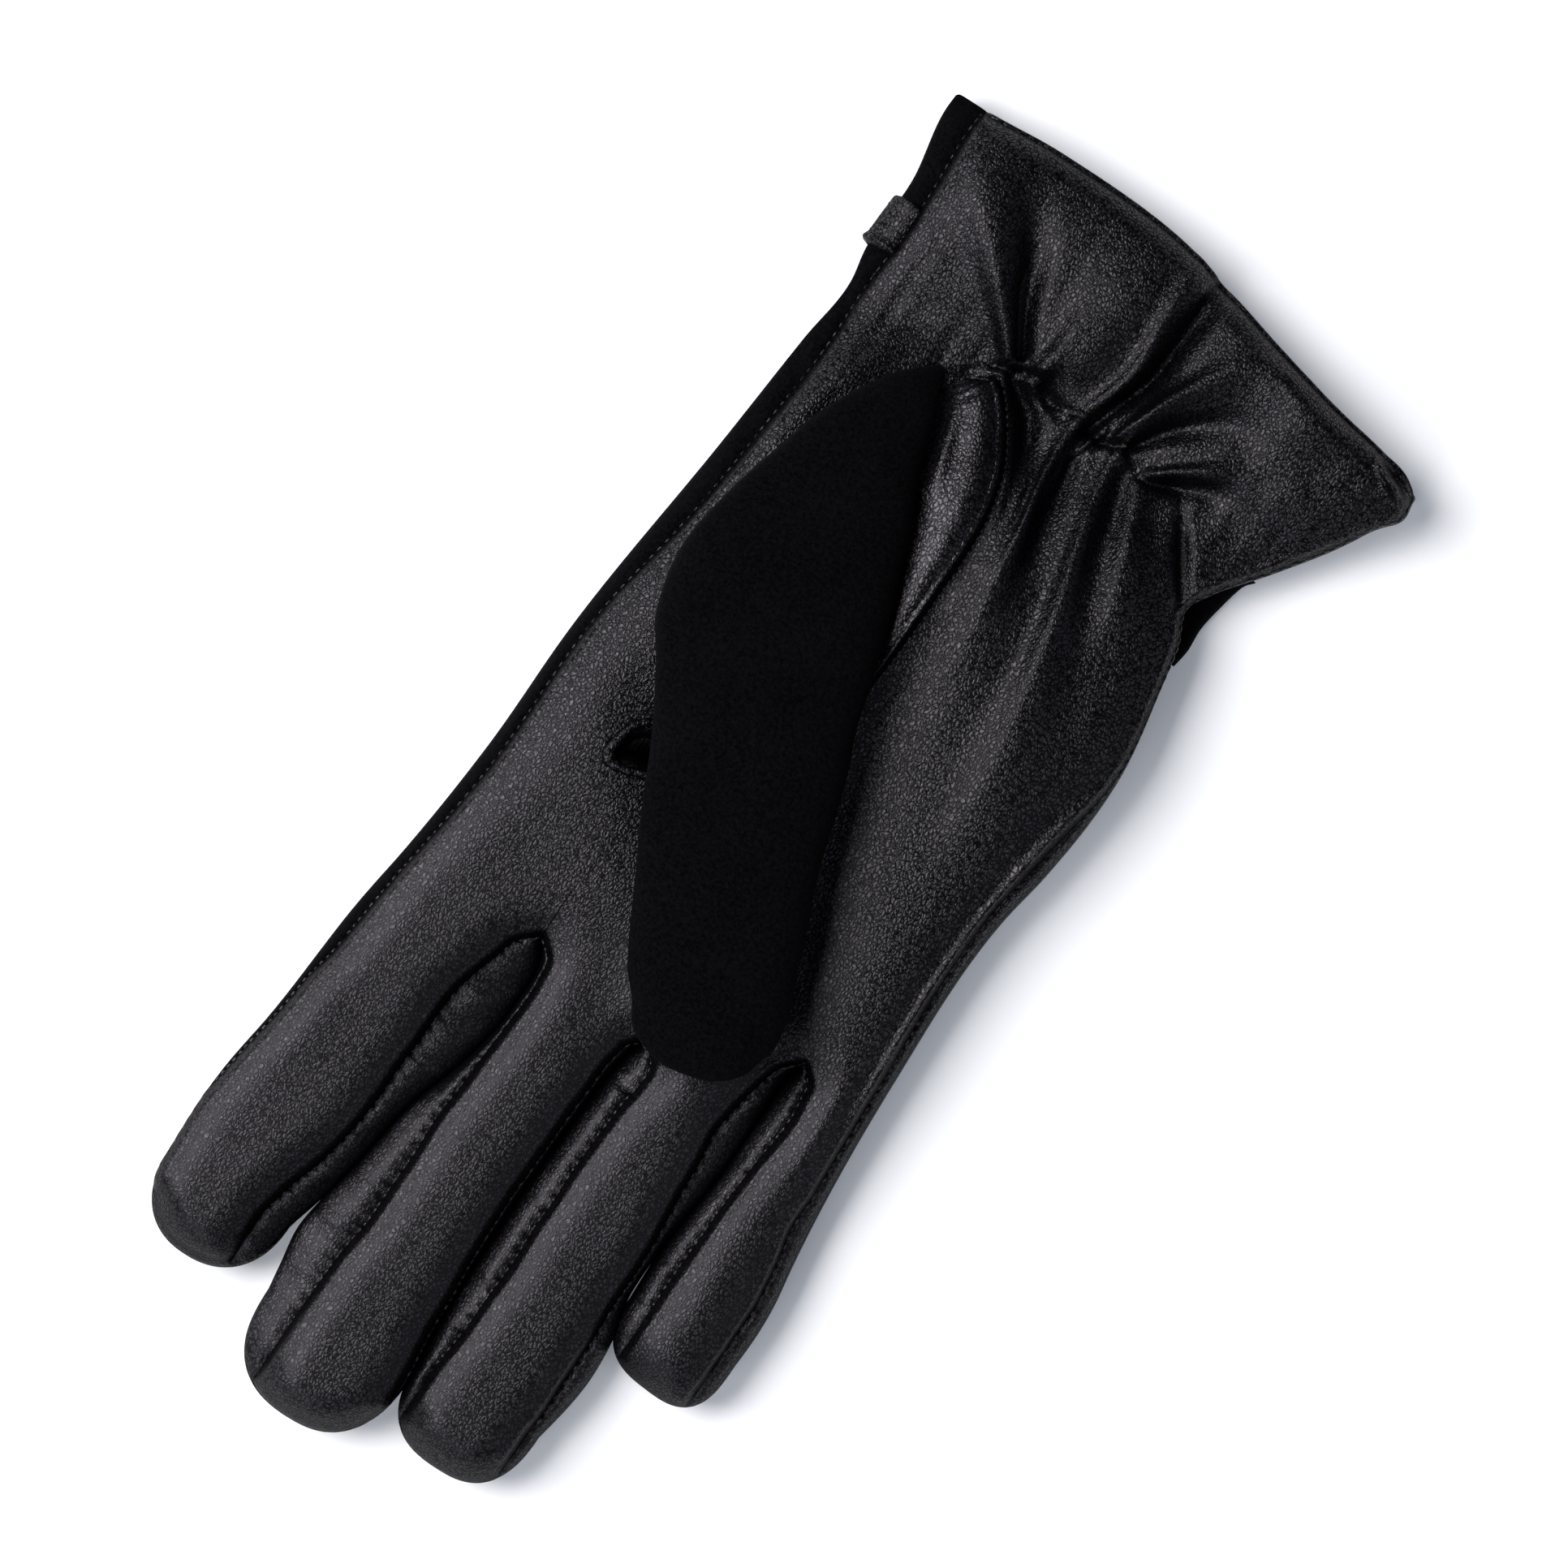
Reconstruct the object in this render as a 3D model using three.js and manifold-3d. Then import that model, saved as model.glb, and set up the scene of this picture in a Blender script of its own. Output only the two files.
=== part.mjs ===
// Dress glove for the right hand, lying palm up: leather palm, suede back, fourchettes between the
// fingers, a stitched-in thumb, an elastic at the wrist, a turned cuff hem, a side strap and a lining.
// Millimetres. +Y runs to the fingertips, +X is the index side, +Z is up from the table.
import * as THREE from "three";
import { mergeVertices } from "three/addons/utils/BufferGeometryUtils.js";
import Module from "manifold-3d";

const wasm = await Module();
wasm.setup();

// ---------------------------------------------------------------- driving dimensions
const SKIN = 1.0; // thickness of leather and suede
const GAP = 0.3; // clearance kept between two pieces that touch
const LINING = 0.8; // thickness of the knitted lining
const ELASTIC = 0.7; // thickness of the wrist elastic
const HEM_WIDTH = 9; // depth of the turned hem inside the mouth
const STRAP_WIDTH = 9.6; // width of the strap round the index edge
const STRAP_THICKNESS = 1.1;
const BAND_LOW = 4.5; // height where the suede back ends on the side walls
const BAND_HIGH = 10; // height where the leather palm ends on the side walls
const CORNER = 5; // radius between the flat underside and the side walls
const TILT = THREE.MathUtils.degToRad(6.3); // the index finger spreads by this angle
const FAR = 200; // longer than anything here

const inLining = SKIN + GAP; // inset of the lining's outer face
const inHollow = inLining + LINING; // inset of the free room inside

// Hand sections from the mouth to past the crotches: [y, left edge, right edge, crown height].
const HAND = [
  [-126, -57.3, 45.7, 16.5],
  [-118, -57.6, 45.2, 16.5],
  [-110, -55.2, 44.2, 15.5],
  [-102, -51.8, 44.0, 14.5],
  [-95, -48.6, 43.6, 13],
  [-89, -45.0, 43.2, 12.4],
  [-82, -40.4, 43.6, 13],
  [-75, -36.4, 44.2, 14.5],
  [-66, -38.2, 45.2, 16],
  [-54, -41.0, 46.2, 17.2],
  [-40, -42.0, 47.6, 17.8],
  [-22, -40.8, 49.2, 17.8],
  [-4, -38.6, 50.1, 17.4],
  [12, -38.6, 50.4, 16.6],
  [42, -38.9, 50.8, 14.4],
];
const WRIST = [-95, -82]; // stations where the lining gives room to the elastic

// Fingers: root centre, spread angle, half width at root and tip, length, crown at root and tip,
// the two hinge distances from the root, and the strip of the hand that the finger owns.
const FINGERS = [
  { name: "index", x: 39.5, y: 36, turn: TILT, half: [12.1, 11.08], long: 75, top: [14.6, 13.2],
    knuckles: [2, 28], strip: [26.4, 80] },
  { name: "middle", x: 14.2, y: 38, turn: 0, half: [11.8, 12], long: 88, top: [14.8, 13.2],
    knuckles: [4, 32], strip: [1.4, 26.4] },
  { name: "ring", x: -10.5, y: 37, turn: 0, half: [11, 10.9], long: 80, top: [14.6, 13],
    knuckles: [5, 31], strip: [-22.3, 1.4] },
  { name: "little", x: -31.3, y: 28, turn: 0, half: [8.1, 9], long: 58, top: [13.8, 12],
    knuckles: [3.5, 25], strip: [-80, -22.3] },
];

// Thumb sections from its heel on the palm to its tip: [x, y, turn in degrees, half width, underside, crown].
const THUMB = [
  [16.5, -88, 0, 5, 7, 14],
  [17.5, -77, 0, 14, 7, 20],
  [19, -62, 0, 18, 7, 25],
  [20.6, -46, -4, 19.6, 7, 28],
  [19, -31, -14, 19.4, 11, 29.4],
  [13, -13.7, -24.6, 17, 18.6, 30],
  [5.8, 2.1, -24.6, 15.2, 18.8, 30],
  [-1.2, 17.3, -24.6, 14.2, 18.8, 29.6],
  [-4.8, 25.2, -24.6, 13.2, 18.8, 29],
  [-7.4, 30.9, -24.6, 10.8, 19.2, 28.4],
  [-9.3, 34.9, -24.6, 7, 20.2, 27.2],
  [-10.3, 37.1, -24.6, 2.6, 22.2, 25.6],
];
const THUMB_HINGE = 5; // the section where the thumb leaves the palm

// ---------------------------------------------------------------- solids
const leather = { color: 0x1c1b1d, roughness: 0.5, metalness: 0 };
const suede = { color: 0x0d0d0f, roughness: 0.95, metalness: 0 };
const knit = { color: 0x18181b, roughness: 0.9, metalness: 0 };
const elastic = { color: 0x232326, roughness: 0.8, metalness: 0 };

/** A closed solid from points and triangles, turned so that its faces point out. */
function solid(points, triangles) {
  let volume = 0;
  for (const [a, b, c] of triangles) {
    const [p, q, r] = [points[a], points[b], points[c]];
    volume += p[0] * (q[1] * r[2] - q[2] * r[1])
      + p[1] * (q[2] * r[0] - q[0] * r[2])
      + p[2] * (q[0] * r[1] - q[1] * r[0]);
  }
  const turned = volume < 0 ? triangles.map(([a, b, c]) => [a, c, b]) : triangles;
  return new wasm.Manifold(new wasm.Mesh({
    numProp: 3,
    vertProperties: new Float32Array(points.flat()),
    triVerts: new Uint32Array(turned.flat()),
  }));
}

/** A solid through rings that all have the same number of points, closed by a fan at each end. */
function loft(rings) {
  const n = rings[0].length;
  const points = rings.flat();
  const triangles = [];
  for (let i = 0; i + 1 < rings.length; i++) {
    for (let j = 0; j < n; j++) {
      const [a, b] = [i * n + j, i * n + ((j + 1) % n)];
      triangles.push([a, b, b + n], [a, b + n, a + n]);
    }
  }
  for (const [ring, start] of [[rings[0], 0], [rings.at(-1), points.length - n]]) {
    const centre = [0, 1, 2].map((k) => ring.reduce((sum, p) => sum + p[k], 0) / n);
    const hub = points.push(centre) - 1;
    for (let j = 0; j < n; j++) {
      const [a, b] = [start + j, start + ((j + 1) % n)];
      triangles.push(start === 0 ? [hub, b, a] : [hub, a, b]);
    }
  }
  return solid(points, triangles);
}

/** An outline extruded from low to high; place turns outline and depth into x, y, z. */
function prism(outline, low, high, place) {
  const flat = outline.map(([a, b]) => new THREE.Vector2(a, b));
  const caps = THREE.ShapeUtils.triangulateShape(flat, []);
  const n = outline.length;
  const points = [low, high].flatMap((depth) => outline.map(([a, b]) => place(a, b, depth)));
  const clockwise = THREE.ShapeUtils.isClockWise(flat);
  const triangles = [];
  for (const [a, b, c] of caps) {
    triangles.push([a, c, b], [a + n, b + n, c + n]);
  }
  for (let j = 0; j < n; j++) {
    const [a, b] = clockwise ? [(j + 1) % n, j] : [j, (j + 1) % n];
    triangles.push([a, b, b + n], [a, b + n, a + n]);
  }
  return solid(points, triangles);
}

const fromAbove = (x, y, z) => [x, y, z]; // outline in X and Y, depth in Z
const box = (x0, x1, y0, y1, z0, z1) =>
  prism([[x0, y0], [x1, y0], [x1, y1], [x0, y1]], z0, z1, fromAbove);

/** Half section of skin: flat below, round corners, crowned on top, as [across, up] pairs. */
function section(half, low, high, corner, crownSteps) {
  const shoulder = low + (high - low) * 0.42;
  const round = Math.min(corner, half * 0.6);
  const ring = [];
  for (const side of [-1, 1]) {
    for (let i = 0; i <= 2; i++) {
      const a = (side < 0 ? 2 - i : i) * Math.PI / 4;
      ring.push([side * (half - round + round * Math.sin(a)), shoulder - (shoulder - low) * Math.cos(a)]);
    }
  }
  for (let i = 1; i < crownSteps; i++) {
    const a = (i * Math.PI) / crownSteps;
    const across = Math.sign(Math.cos(a)) * Math.abs(Math.cos(a)) ** 0.85;
    ring.push([half * across, shoulder + (high - shoulder) * Math.sin(a) ** 0.85]);
  }
  return ring;
}

/** The slanted mouth: how far the hem lies from y = -126 at this x. */
const hemCurve = (x) => (x < 15 ? 0.00285 * (x - 15) ** 2 : 0);

/** The line of the crotches across the hand. */
function crotchCurve(x) {
  const inside = THREE.MathUtils.clamp(x, -24.1, 24.5);
  return 37.5 + 0.164 * inside - 0.0144 * inside ** 2;
}

/** The hand without its fingers, shrunk by inset; an inset hand runs out through the mouth. */
function hand(inset, roomForElastic = 0) {
  const rings = HAND.map(([y, left, right, crown], i) => {
    const isWrist = y >= WRIST[0] && y <= WRIST[1];
    const shrink = inset + (isWrist ? roomForElastic : 0);
    const slant = THREE.MathUtils.clamp((-96 - y) / 30, 0, 1);
    const along = i === 0 && inset > 0 ? y - 8 : y;
    const centre = (left + right) / 2;
    return section((right - left) / 2 - shrink, shrink, crown - shrink, CORNER, 10)
      .map(([across, up]) => [centre + across, along + slant * hemCurve(centre + across), up]);
  });
  const xs = Array.from({ length: 13 }, (_, i) => -30 + i * 5);
  const ends = [-FAR, ...xs, FAR].map((x) => [x, crotchCurve(x) - inset]);
  const behindCrotches = prism([[-FAR, -FAR], [FAR, -FAR], ...ends.toReversed()], -FAR, FAR, fromAbove);
  return loft(rings).intersect(behindCrotches);
}

/** A point of a finger's own frame, across and along it, in the hand's frame. */
const onFinger = (finger, across, along, up) => [
  finger.x + across * Math.cos(finger.turn) + along * Math.sin(finger.turn),
  finger.y - across * Math.sin(finger.turn) + along * Math.cos(finger.turn),
  up,
];

/** One finger as a blunt tube that starts inside the hand. */
function fingerForm(finger, inset) {
  const { half, top, long } = finger;
  const round = half[1] * 0.95;
  const stations = [-14, 0, long - round].map((s) => [s, 1]);
  for (const degrees of [35, 62, 82]) {
    const a = THREE.MathUtils.degToRad(degrees);
    stations.push([long - round + round * Math.sin(a), Math.cos(a)]);
  }
  return loft(stations.map(([s, share]) => {
    const t = THREE.MathUtils.clamp(s / long, 0, 1);
    const shrink = inset + (s < 0 ? 0.7 : 0);
    const crown = THREE.MathUtils.lerp(top[0], top[1], t);
    const middle = crown * 0.44;
    const width = Math.max(THREE.MathUtils.lerp(half[0], half[1], t) * share - shrink, 0.5);
    const flat = share ** 0.55;
    const low = middle - Math.max(middle * flat - shrink, 0.3);
    const high = middle + Math.max((crown - middle) * flat - shrink, 0.3);
    const along = share < 1 ? s - inset * Math.sqrt(1 - share * share) : s;
    return section(width, low, high, CORNER, 6).map(([u, z]) => onFinger(finger, u, along, z));
  }));
}

/** The thumb with its heel on the palm, shrunk by inset. */
function thumbForm(inset) {
  const last = THUMB.length - 1;
  return loft(THUMB.map(([x, y, degrees, half, low, high], i) => {
    const turn = THREE.MathUtils.degToRad(degrees);
    const width = Math.max(half - inset, 0.8);
    const bottom = i < 4 ? low : Math.min(low + inset, (low + high) / 2 - 0.4);
    const crown = Math.max(high - inset, (low + high) / 2 + 0.4);
    const back = i === last ? inset : 0;
    return section(width, bottom, crown, 3.5, 8).map(([u, z]) => [
      x + u * Math.cos(turn) - back * Math.sin(turn),
      y - u * Math.sin(turn) - back * Math.cos(turn),
      z,
    ]);
  }));
}

/** The hand and its four fingers as one solid. */
function gloveForm(inset, roomForElastic = 0) {
  return FINGERS.reduce((form, finger) => form.add(fingerForm(finger, inset)), hand(inset, roomForElastic));
}

const join = (...solids) => solids.reduce((all, next) => all.add(next));
const cut = (whole, ...solids) => solids.reduce((rest, next) => rest.subtract(next), whole);

// ---------------------------------------------------------------- cutting lines
/** Heights of the side walls' lower and upper seams along the hand. */
const lowSeam = [[-FAR, 4.2], [-95, 3.6], [-82, 3.6], [-60, BAND_LOW], [FAR, BAND_LOW]];
const highSeam = [[-FAR, 9.5], [-95, 8], [-82, 8], [-60, BAND_HIGH], [FAR, BAND_HIGH]];
const raised = (line, by) => line.map(([y, z]) => [y, z + by]);
const sideways = (y, z, x) => [x, y, z]; // outline in Y and Z, depth in X
const above = (line) => prism([...line, [FAR, FAR], [-FAR, FAR]], -FAR, FAR, sideways);

/** What lies beyond a finger's hinge: from distance s on, inside the finger's strip. */
function beyond(finger, s) {
  const [left, right] = finger.strip;
  const [x0, x1] = [left - finger.x, right - finger.x];
  const outline = [[x0, s], [x1, s], [x1, FAR], [x0, FAR]];
  return prism(outline, -FAR, FAR, (u, v, z) => onFinger(finger, u, v, z));
}

/** A slab across one finger, between two distances along it. */
const slab = (finger, s0, s1) => {
  const reach = 22;
  const outline = [[-reach, s0], [reach, s0], [reach, s1], [-reach, s1]];
  const whole = prism(outline, -FAR, FAR, (u, v, z) => onFinger(finger, u, v, z));
  const [left, right] = finger.strip;
  return whole.intersect(box(left, right, -FAR, FAR, -FAR, FAR));
};

/** Mouth hem as a band between two distances from the cut edge. */
function hemBand(from, to) {
  const xs = Array.from({ length: 15 }, (_, i) => -72 + i * 9);
  const edge = (x, off) => [x, -126 + hemCurve(x) + off];
  const outline = [...xs.map((x) => edge(x, from)), ...xs.toReversed().map((x) => edge(x, to))];
  return prism(outline, -FAR, FAR, fromAbove);
}

// ---------------------------------------------------------------- forms
const outer = gloveForm(0);
const shell = cut(outer, gloveForm(SKIN));
const hollow = gloveForm(inHollow, ELASTIC + GAP);
const lining = cut(gloveForm(inLining, ELASTIC + GAP), hollow);
const thumbOuter = thumbForm(0);
const thumbHollow = thumbForm(inHollow);
const thumbSkin = cut(thumbOuter, thumbForm(SKIN));
const thumbLining = cut(thumbForm(inLining), thumbHollow);

const fingersBeyond = join(...FINGERS.map((finger) => beyond(finger, finger.knuckles[0] - GAP / 2)));
const rootShell = cut(shell, fingersBeyond);
const pieces = [];
const keep = (name, form, look) => pieces.push([name, form, look]);

// ---------------------------------------------------------------- hand
/** Palm, back and side pieces of the hand, with the webs of the three crotches. */
function handPieces() {
  const upper = above(raised(highSeam, GAP / 2));
  const lowerEdge = above(raised(lowSeam, GAP / 2));
  const wall = cut(lowerEdge, above(raised(highSeam, -GAP / 2)));
  const sideZone = box(-FAR, -28, -73, FAR, -FAR, FAR);
  const crotches = [["web_index_middle", 26.4], ["web_middle_ring", 1.4], ["web_ring_little", -22.3]];
  const webZone = ([, x]) => box(x - 8, x + 8, 12, FAR, -FAR, FAR);
  keep("palm_panel", cut(rootShell.intersect(upper), thumbHollow), leather);
  keep("side_strip", rootShell.intersect(wall).intersect(sideZone), leather);
  for (const crotch of crotches) {
    keep(crotch[0], rootShell.intersect(wall).intersect(webZone(crotch)), leather);
  }
  const wallZones = join(box(-FAR, -28, -73 - GAP, FAR, -FAR, FAR), ...crotches.map(webZone));
  const notBack = above(raised(lowSeam, -GAP / 2)).intersect(wallZones);
  keep("back_panel", cut(rootShell, above(raised(highSeam, -GAP / 2)), notBack), suede);
}

/** Turned hem: one strip under the leather and one over the suede, just inside the mouth. */
function hemPieces() {
  const band = cut(hand(SKIN + GAP), hand(inHollow)).intersect(hemBand(0.4, HEM_WIDTH));
  const palmSide = above([[-FAR, 8], [FAR, 8]]);
  const backSide = above([[-FAR, 8 - GAP], [FAR, 8 - GAP]]);
  keep("cuff_hem_palm", band.intersect(palmSide), leather);
  keep("cuff_hem_back", cut(band, backSide), suede);
}

/** Elastic band sewn between the leather and the lining, on the palm side of the wrist. */
function wristElastic() {
  const ring = cut(hand(SKIN + GAP), hand(SKIN + GAP + ELASTIC));
  keep("wrist_elastic", ring.intersect(box(-27, 34, -94, -83.5, 7.5, FAR)), elastic);
}

/** Strap that grips the index edge just above the hem. */
function strap() {
  const y = -106.2;
  const ring = cut(hand(-GAP - STRAP_THICKNESS), hand(-GAP));
  keep("cuff_strap", ring.intersect(box(38.5, FAR, y, y + STRAP_WIDTH, 2.2, FAR)), leather);
}

// ---------------------------------------------------------------- thumb
/** The plane where the thumb leaves the palm; off moves it along the thumb. */
function pastThumbHinge(off) {
  const [x, y, degrees] = THUMB[THUMB_HINGE];
  const turn = THREE.MathUtils.degToRad(degrees);
  const outline = [[-60, off], [60, off], [60, FAR], [-60, FAR]];
  return prism(outline, -FAR, FAR, (u, v, z) =>
    [x + u * Math.cos(turn) + v * Math.sin(turn), y - u * Math.sin(turn) + v * Math.cos(turn), z]);
}

/** Suede thumb with its heel and leather gusset on the palm, and the free tube beyond the hinge. */
function thumbPieces() {
  const clear = hand(-GAP);
  const free = pastThumbHinge(GAP / 2);
  const fixed = cut(thumbSkin, pastThumbHinge(-GAP / 2), clear);
  const seam = [[12.6, -100], [12.6, -72], [8, -52], [2, -36], [-6, -28], [-60, -28], [-60, -100]];
  const shifted = (off) => prism(seam.map(([x, y]) => [x + off, y + off]), -FAR, FAR, fromAbove);
  keep("thumb_gusset", fixed.intersect(shifted(-GAP / 2)), leather);
  keep("thumb_base", cut(fixed, shifted(GAP / 2)), suede);
  keep("thumb_base_lining", cut(thumbLining, pastThumbHinge(-GAP / 2), clear), knit);
  const tube = thumbSkin.intersect(free);
  const level = 21.6;
  keep("thumb_back", tube.intersect(above([[-FAR, level], [FAR, level]])), suede);
  keep("thumb_palm", cut(tube, above([[-FAR, level - GAP], [FAR, level - GAP]])), leather);
  keep("thumb_lining", thumbLining.intersect(free), knit);
}

// ---------------------------------------------------------------- fingers
/** Leather, suede, side walls and lining of one stretch of a finger. */
function fingerStretch(finger, part, s0, s1) {
  const zone = slab(finger, s0, s1);
  const stretch = shell.intersect(zone);
  const close = finger.long - finger.half[1] * 0.95;
  const along = (line) => (low, high) => prism(line(low, high), -FAR, FAR,
    (v, z, u) => onFinger(finger, u, v, z));
  const mid = 7.4;
  const roof = along((off) => [[-20, BAND_HIGH + off], [close, mid + off], [FAR, mid + off],
    [FAR, FAR], [-20, FAR]]);
  const floor = along((off) => [[-20, BAND_LOW + off], [close, mid + off], [FAR, mid + off],
    [FAR, FAR], [-20, FAR]]);
  const wall = cut(floor(GAP / 2), roof(-GAP / 2));
  const side = (sign, from) => prism([[0, -FAR], [FAR, -FAR], [FAR, FAR], [0, FAR]], -FAR, FAR,
    (u, v, z) => onFinger(finger, sign * (u + from), v, z));
  const name = `${finger.name}_${part}`;
  keep(`${name}_palm`, stretch.intersect(roof(GAP / 2)), leather);
  const below = cut(stretch, floor(-GAP / 2));
  keep(`${name}_wall_little_side`, stretch.intersect(wall).intersect(side(-1, 0.5)), leather);
  if (finger.name === "index") {
    // The suede of the back wraps round the free edge of the index finger.
    const wrap = cut(stretch, roof(-GAP / 2)).intersect(side(1, 0.5));
    keep(`${name}_back`, below.add(wrap), suede);
  } else {
    keep(`${name}_back`, below, suede);
    keep(`${name}_wall_index_side`, stretch.intersect(wall).intersect(side(1, 0.5)), leather);
  }
  keep(`${name}_lining`, lining.intersect(zone), knit);
}

// ---------------------------------------------------------------- assembly
handPieces();
hemPieces();
wristElastic();
strap();
keep("hand_lining", cut(lining, fingersBeyond, hemBand(-40, HEM_WIDTH + GAP), thumbHollow), knit);
thumbPieces();
for (const finger of FINGERS) {
  const [knuckle, second] = finger.knuckles;
  fingerStretch(finger, "base", knuckle + GAP / 2, second - GAP / 2);
  fingerStretch(finger, "tip", second + GAP / 2, finger.long + 20);
}

/** A named mesh from a solid, with its own material. */
function meshOf(name, form, look) {
  const { numProp, vertProperties, triVerts } = form.getMesh();
  const raw = new THREE.BufferGeometry();
  const position = new Float32Array((vertProperties.length / numProp) * 3);
  for (let i = 0; i < position.length / 3; i++) {
    position.set(vertProperties.subarray(i * numProp, i * numProp + 3), i * 3);
  }
  raw.setAttribute("position", new THREE.BufferAttribute(position, 3));
  raw.setIndex(new THREE.BufferAttribute(new Uint32Array(triVerts), 1));
  const mesh = new THREE.Mesh(mergeVertices(raw, 1e-5), new THREE.MeshStandardMaterial(look));
  mesh.name = name;
  return mesh;
}

const glove = new THREE.Group();
glove.name = "glove";
for (const [name, form, look] of pieces) {
  glove.add(meshOf(name, form, look));
}

export default glove;
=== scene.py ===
"""Looks of a right-hand dress glove lying palm up: leather palm, suede back and thumb, stitched seams."""

import math

import bpy
import numpy as np
from mathutils import Matrix, Vector
from mathutils.kdtree import KDTree


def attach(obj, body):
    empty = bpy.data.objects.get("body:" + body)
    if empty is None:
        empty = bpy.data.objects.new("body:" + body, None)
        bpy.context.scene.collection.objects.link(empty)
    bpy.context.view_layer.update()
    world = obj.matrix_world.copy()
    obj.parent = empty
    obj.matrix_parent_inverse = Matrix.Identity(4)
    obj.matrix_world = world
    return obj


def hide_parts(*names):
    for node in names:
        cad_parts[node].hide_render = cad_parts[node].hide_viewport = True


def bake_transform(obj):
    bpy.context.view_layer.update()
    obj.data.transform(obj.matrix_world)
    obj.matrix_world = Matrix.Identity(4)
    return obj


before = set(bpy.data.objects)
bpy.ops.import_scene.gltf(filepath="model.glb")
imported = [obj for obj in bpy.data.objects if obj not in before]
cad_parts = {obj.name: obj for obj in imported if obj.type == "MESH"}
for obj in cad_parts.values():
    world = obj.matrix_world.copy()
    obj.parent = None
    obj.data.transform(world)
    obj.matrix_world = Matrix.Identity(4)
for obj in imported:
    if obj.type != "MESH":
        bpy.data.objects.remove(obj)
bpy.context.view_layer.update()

MM = 0.001  # tables and shapes below are in millimetres

# ---------- outlines, as (y, x) tables
LEFT_EDGE = [
    (-111, -57.3), (-108, -57.6), (-101, -53.3), (-88, -44.3), (-79, -37.5), (-75.5, -35.6),
    (-68.5, -37.8), (-61, -39.3), (-45, -41.9), (-24, -40.8), (-14, -39.1), (20, -38.9), (55, -41.9),
    (62, -43), (90, -42)
]
LEFT_INSET = [(-111, 0.5), (-60, 0.3), (-46, 0.5), (-28, 2.4), (0, 2.2), (30, 2.0), (60, 3.0), (90, 2.6)]
RIGHT_SEAM = [
    (-126, 40.2), (-120, 40.4), (-112, 39.9), (-98, 39.8), (-92, 40.2), (-75, 40.2), (-66, 40.9),
    (-40, 43.4), (-21, 46.6), (14, 47.9), (47, 52.1), (70, 54.9), (86, 57.0), (102, 56.6)
]
RIGHT_EDGE = [
    (-126, 45.7), (-124, 45.8), (-110, 43.8), (-95, 43.9), (-90, 43.0), (-77, 44.2), (-55, 46),
    (-14, 49.8), (10, 50.3), (32, 52.2), (44, 53.8), (69, 55.7), (80, 57.1), (102, 57)
]
HEM = [
    (-57.3, -111.3), (-55, -112.9), (-47.5, -114.7), (-39, -116), (-13, -122.4), (-6, -124.3),
    (26, -126.4), (40, -125.5), (46, -125.8)
]

# Where two fingers lie side by side their walls meet along one line.
LITTLE_RING = [(25.2, -24.1), (28, -23.4), (36, -23.2), (46, -23.2), (67, -21.6), (76, -21.9)]
RING_MIDDLE = [(37.5, 0.6), (39, 1.3), (43, 2.1), (57, 3), (75, 3.4), (95, 3), (103.5, 2)]
MIDDLE_INDEX = [(32, 24.5), (34, 23.2), (44, 22), (60, 24.8), (66, 26.8), (82, 29.5), (90, 31)]
SPLIT_Y = 22.0  # from this row on each finger is a tube of its own
FINGERS = {
    "little": dict(
        span=(None, -24.1), apex=(None, 25.2), tip=(74.5, 86.2), square=2.9, centre=-32.6, slant=-0.06,
        seam_l=None, edge_l=None,
        seam_r=[(25.2, -24.1), (27, -26.2), (30.6, -27.1), (46, -26.5), (63.5, -25.6), (90, -25.2)],
        edge_r=LITTLE_RING + [(90, -22.6)],
        crown=14.2,
        knuckles=(31.5, 53.0),
    ),
    "ring": dict(
        span=(-24.1, 0.6), apex=(25.2, 37.5), tip=(103.0, 117.1), square=2.6, centre=-10.6, slant=0.02,
        seam_l=[(25.2, -24.1), (28, -21.4), (32, -20.1), (55, -19.1), (64, -20.2), (76, -20.4),
                (108, -20.1)],
        edge_l=LITTLE_RING + [(82, -23.4), (88, -24), (110, -21)],
        seam_r=[(37.5, 0.6), (38.3, -1.6), (40, -2.9), (43, -3.1), (49, -2.3), (65, -1.4), (75, -1.8),
                (112, -0.8)],
        edge_r=RING_MIDDLE + [(110, 0.6)],
        crown=15.0,
        knuckles=(42, 68),
    ),
    "middle": dict(
        span=(0.6, 24.5), apex=(37.5, 32.0), tip=(107.5, 123.9), square=2.4, centre=14.8, slant=0.05,
        seam_l=[(37.5, 0.6), (38.6, 1.9), (41.6, 3.1), (49, 3.7), (57, 3.8), (83, 4.2), (110, 1.9),
                (120, 1.5)],
        edge_l=RING_MIDDLE + [(110, 1.2), (120, 1)],
        seam_r=[(32, 24.5), (33.7, 22.4), (38.3, 21.1), (47, 21.4), (56, 22.1), (90, 22.4), (99, 23.1),
                (120, 24)],
        edge_r=MIDDLE_INDEX + [(96, 31.7), (103, 30.7), (120, 28)],
        crown=15.4,
        knuckles=(42, 70),
    ),
    "index": dict(
        span=(24.5, None), apex=(32.0, None), tip=(97.0, 110.6), square=2.25, centre=45.4, slant=0.0,
        seam_l=[(32, 24.5), (34.3, 27.2), (38.8, 29), (44, 30.7), (61, 31.9), (76, 33), (91, 36.3),
                (97, 37.8), (105, 38.6)],
        edge_l=MIDDLE_INDEX + [(97, 32.8), (105, 34)],
        seam_r=None, edge_r=None,
        crown=15.2,
        knuckles=(38, 63.8),
    ),
}
ORDER = ["little", "ring", "middle", "index"]
BOTTOM_INSET = 2.2
EDGE_Z = 6.4  # height at which the side walls stand out furthest
FOOT_Z = 1.0  # height of the seam between the walls and the underside
SIDES = (("l", 0), ("r", -1))  # a panel's two sides and their columns

# ---------- small numeric tools


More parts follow.
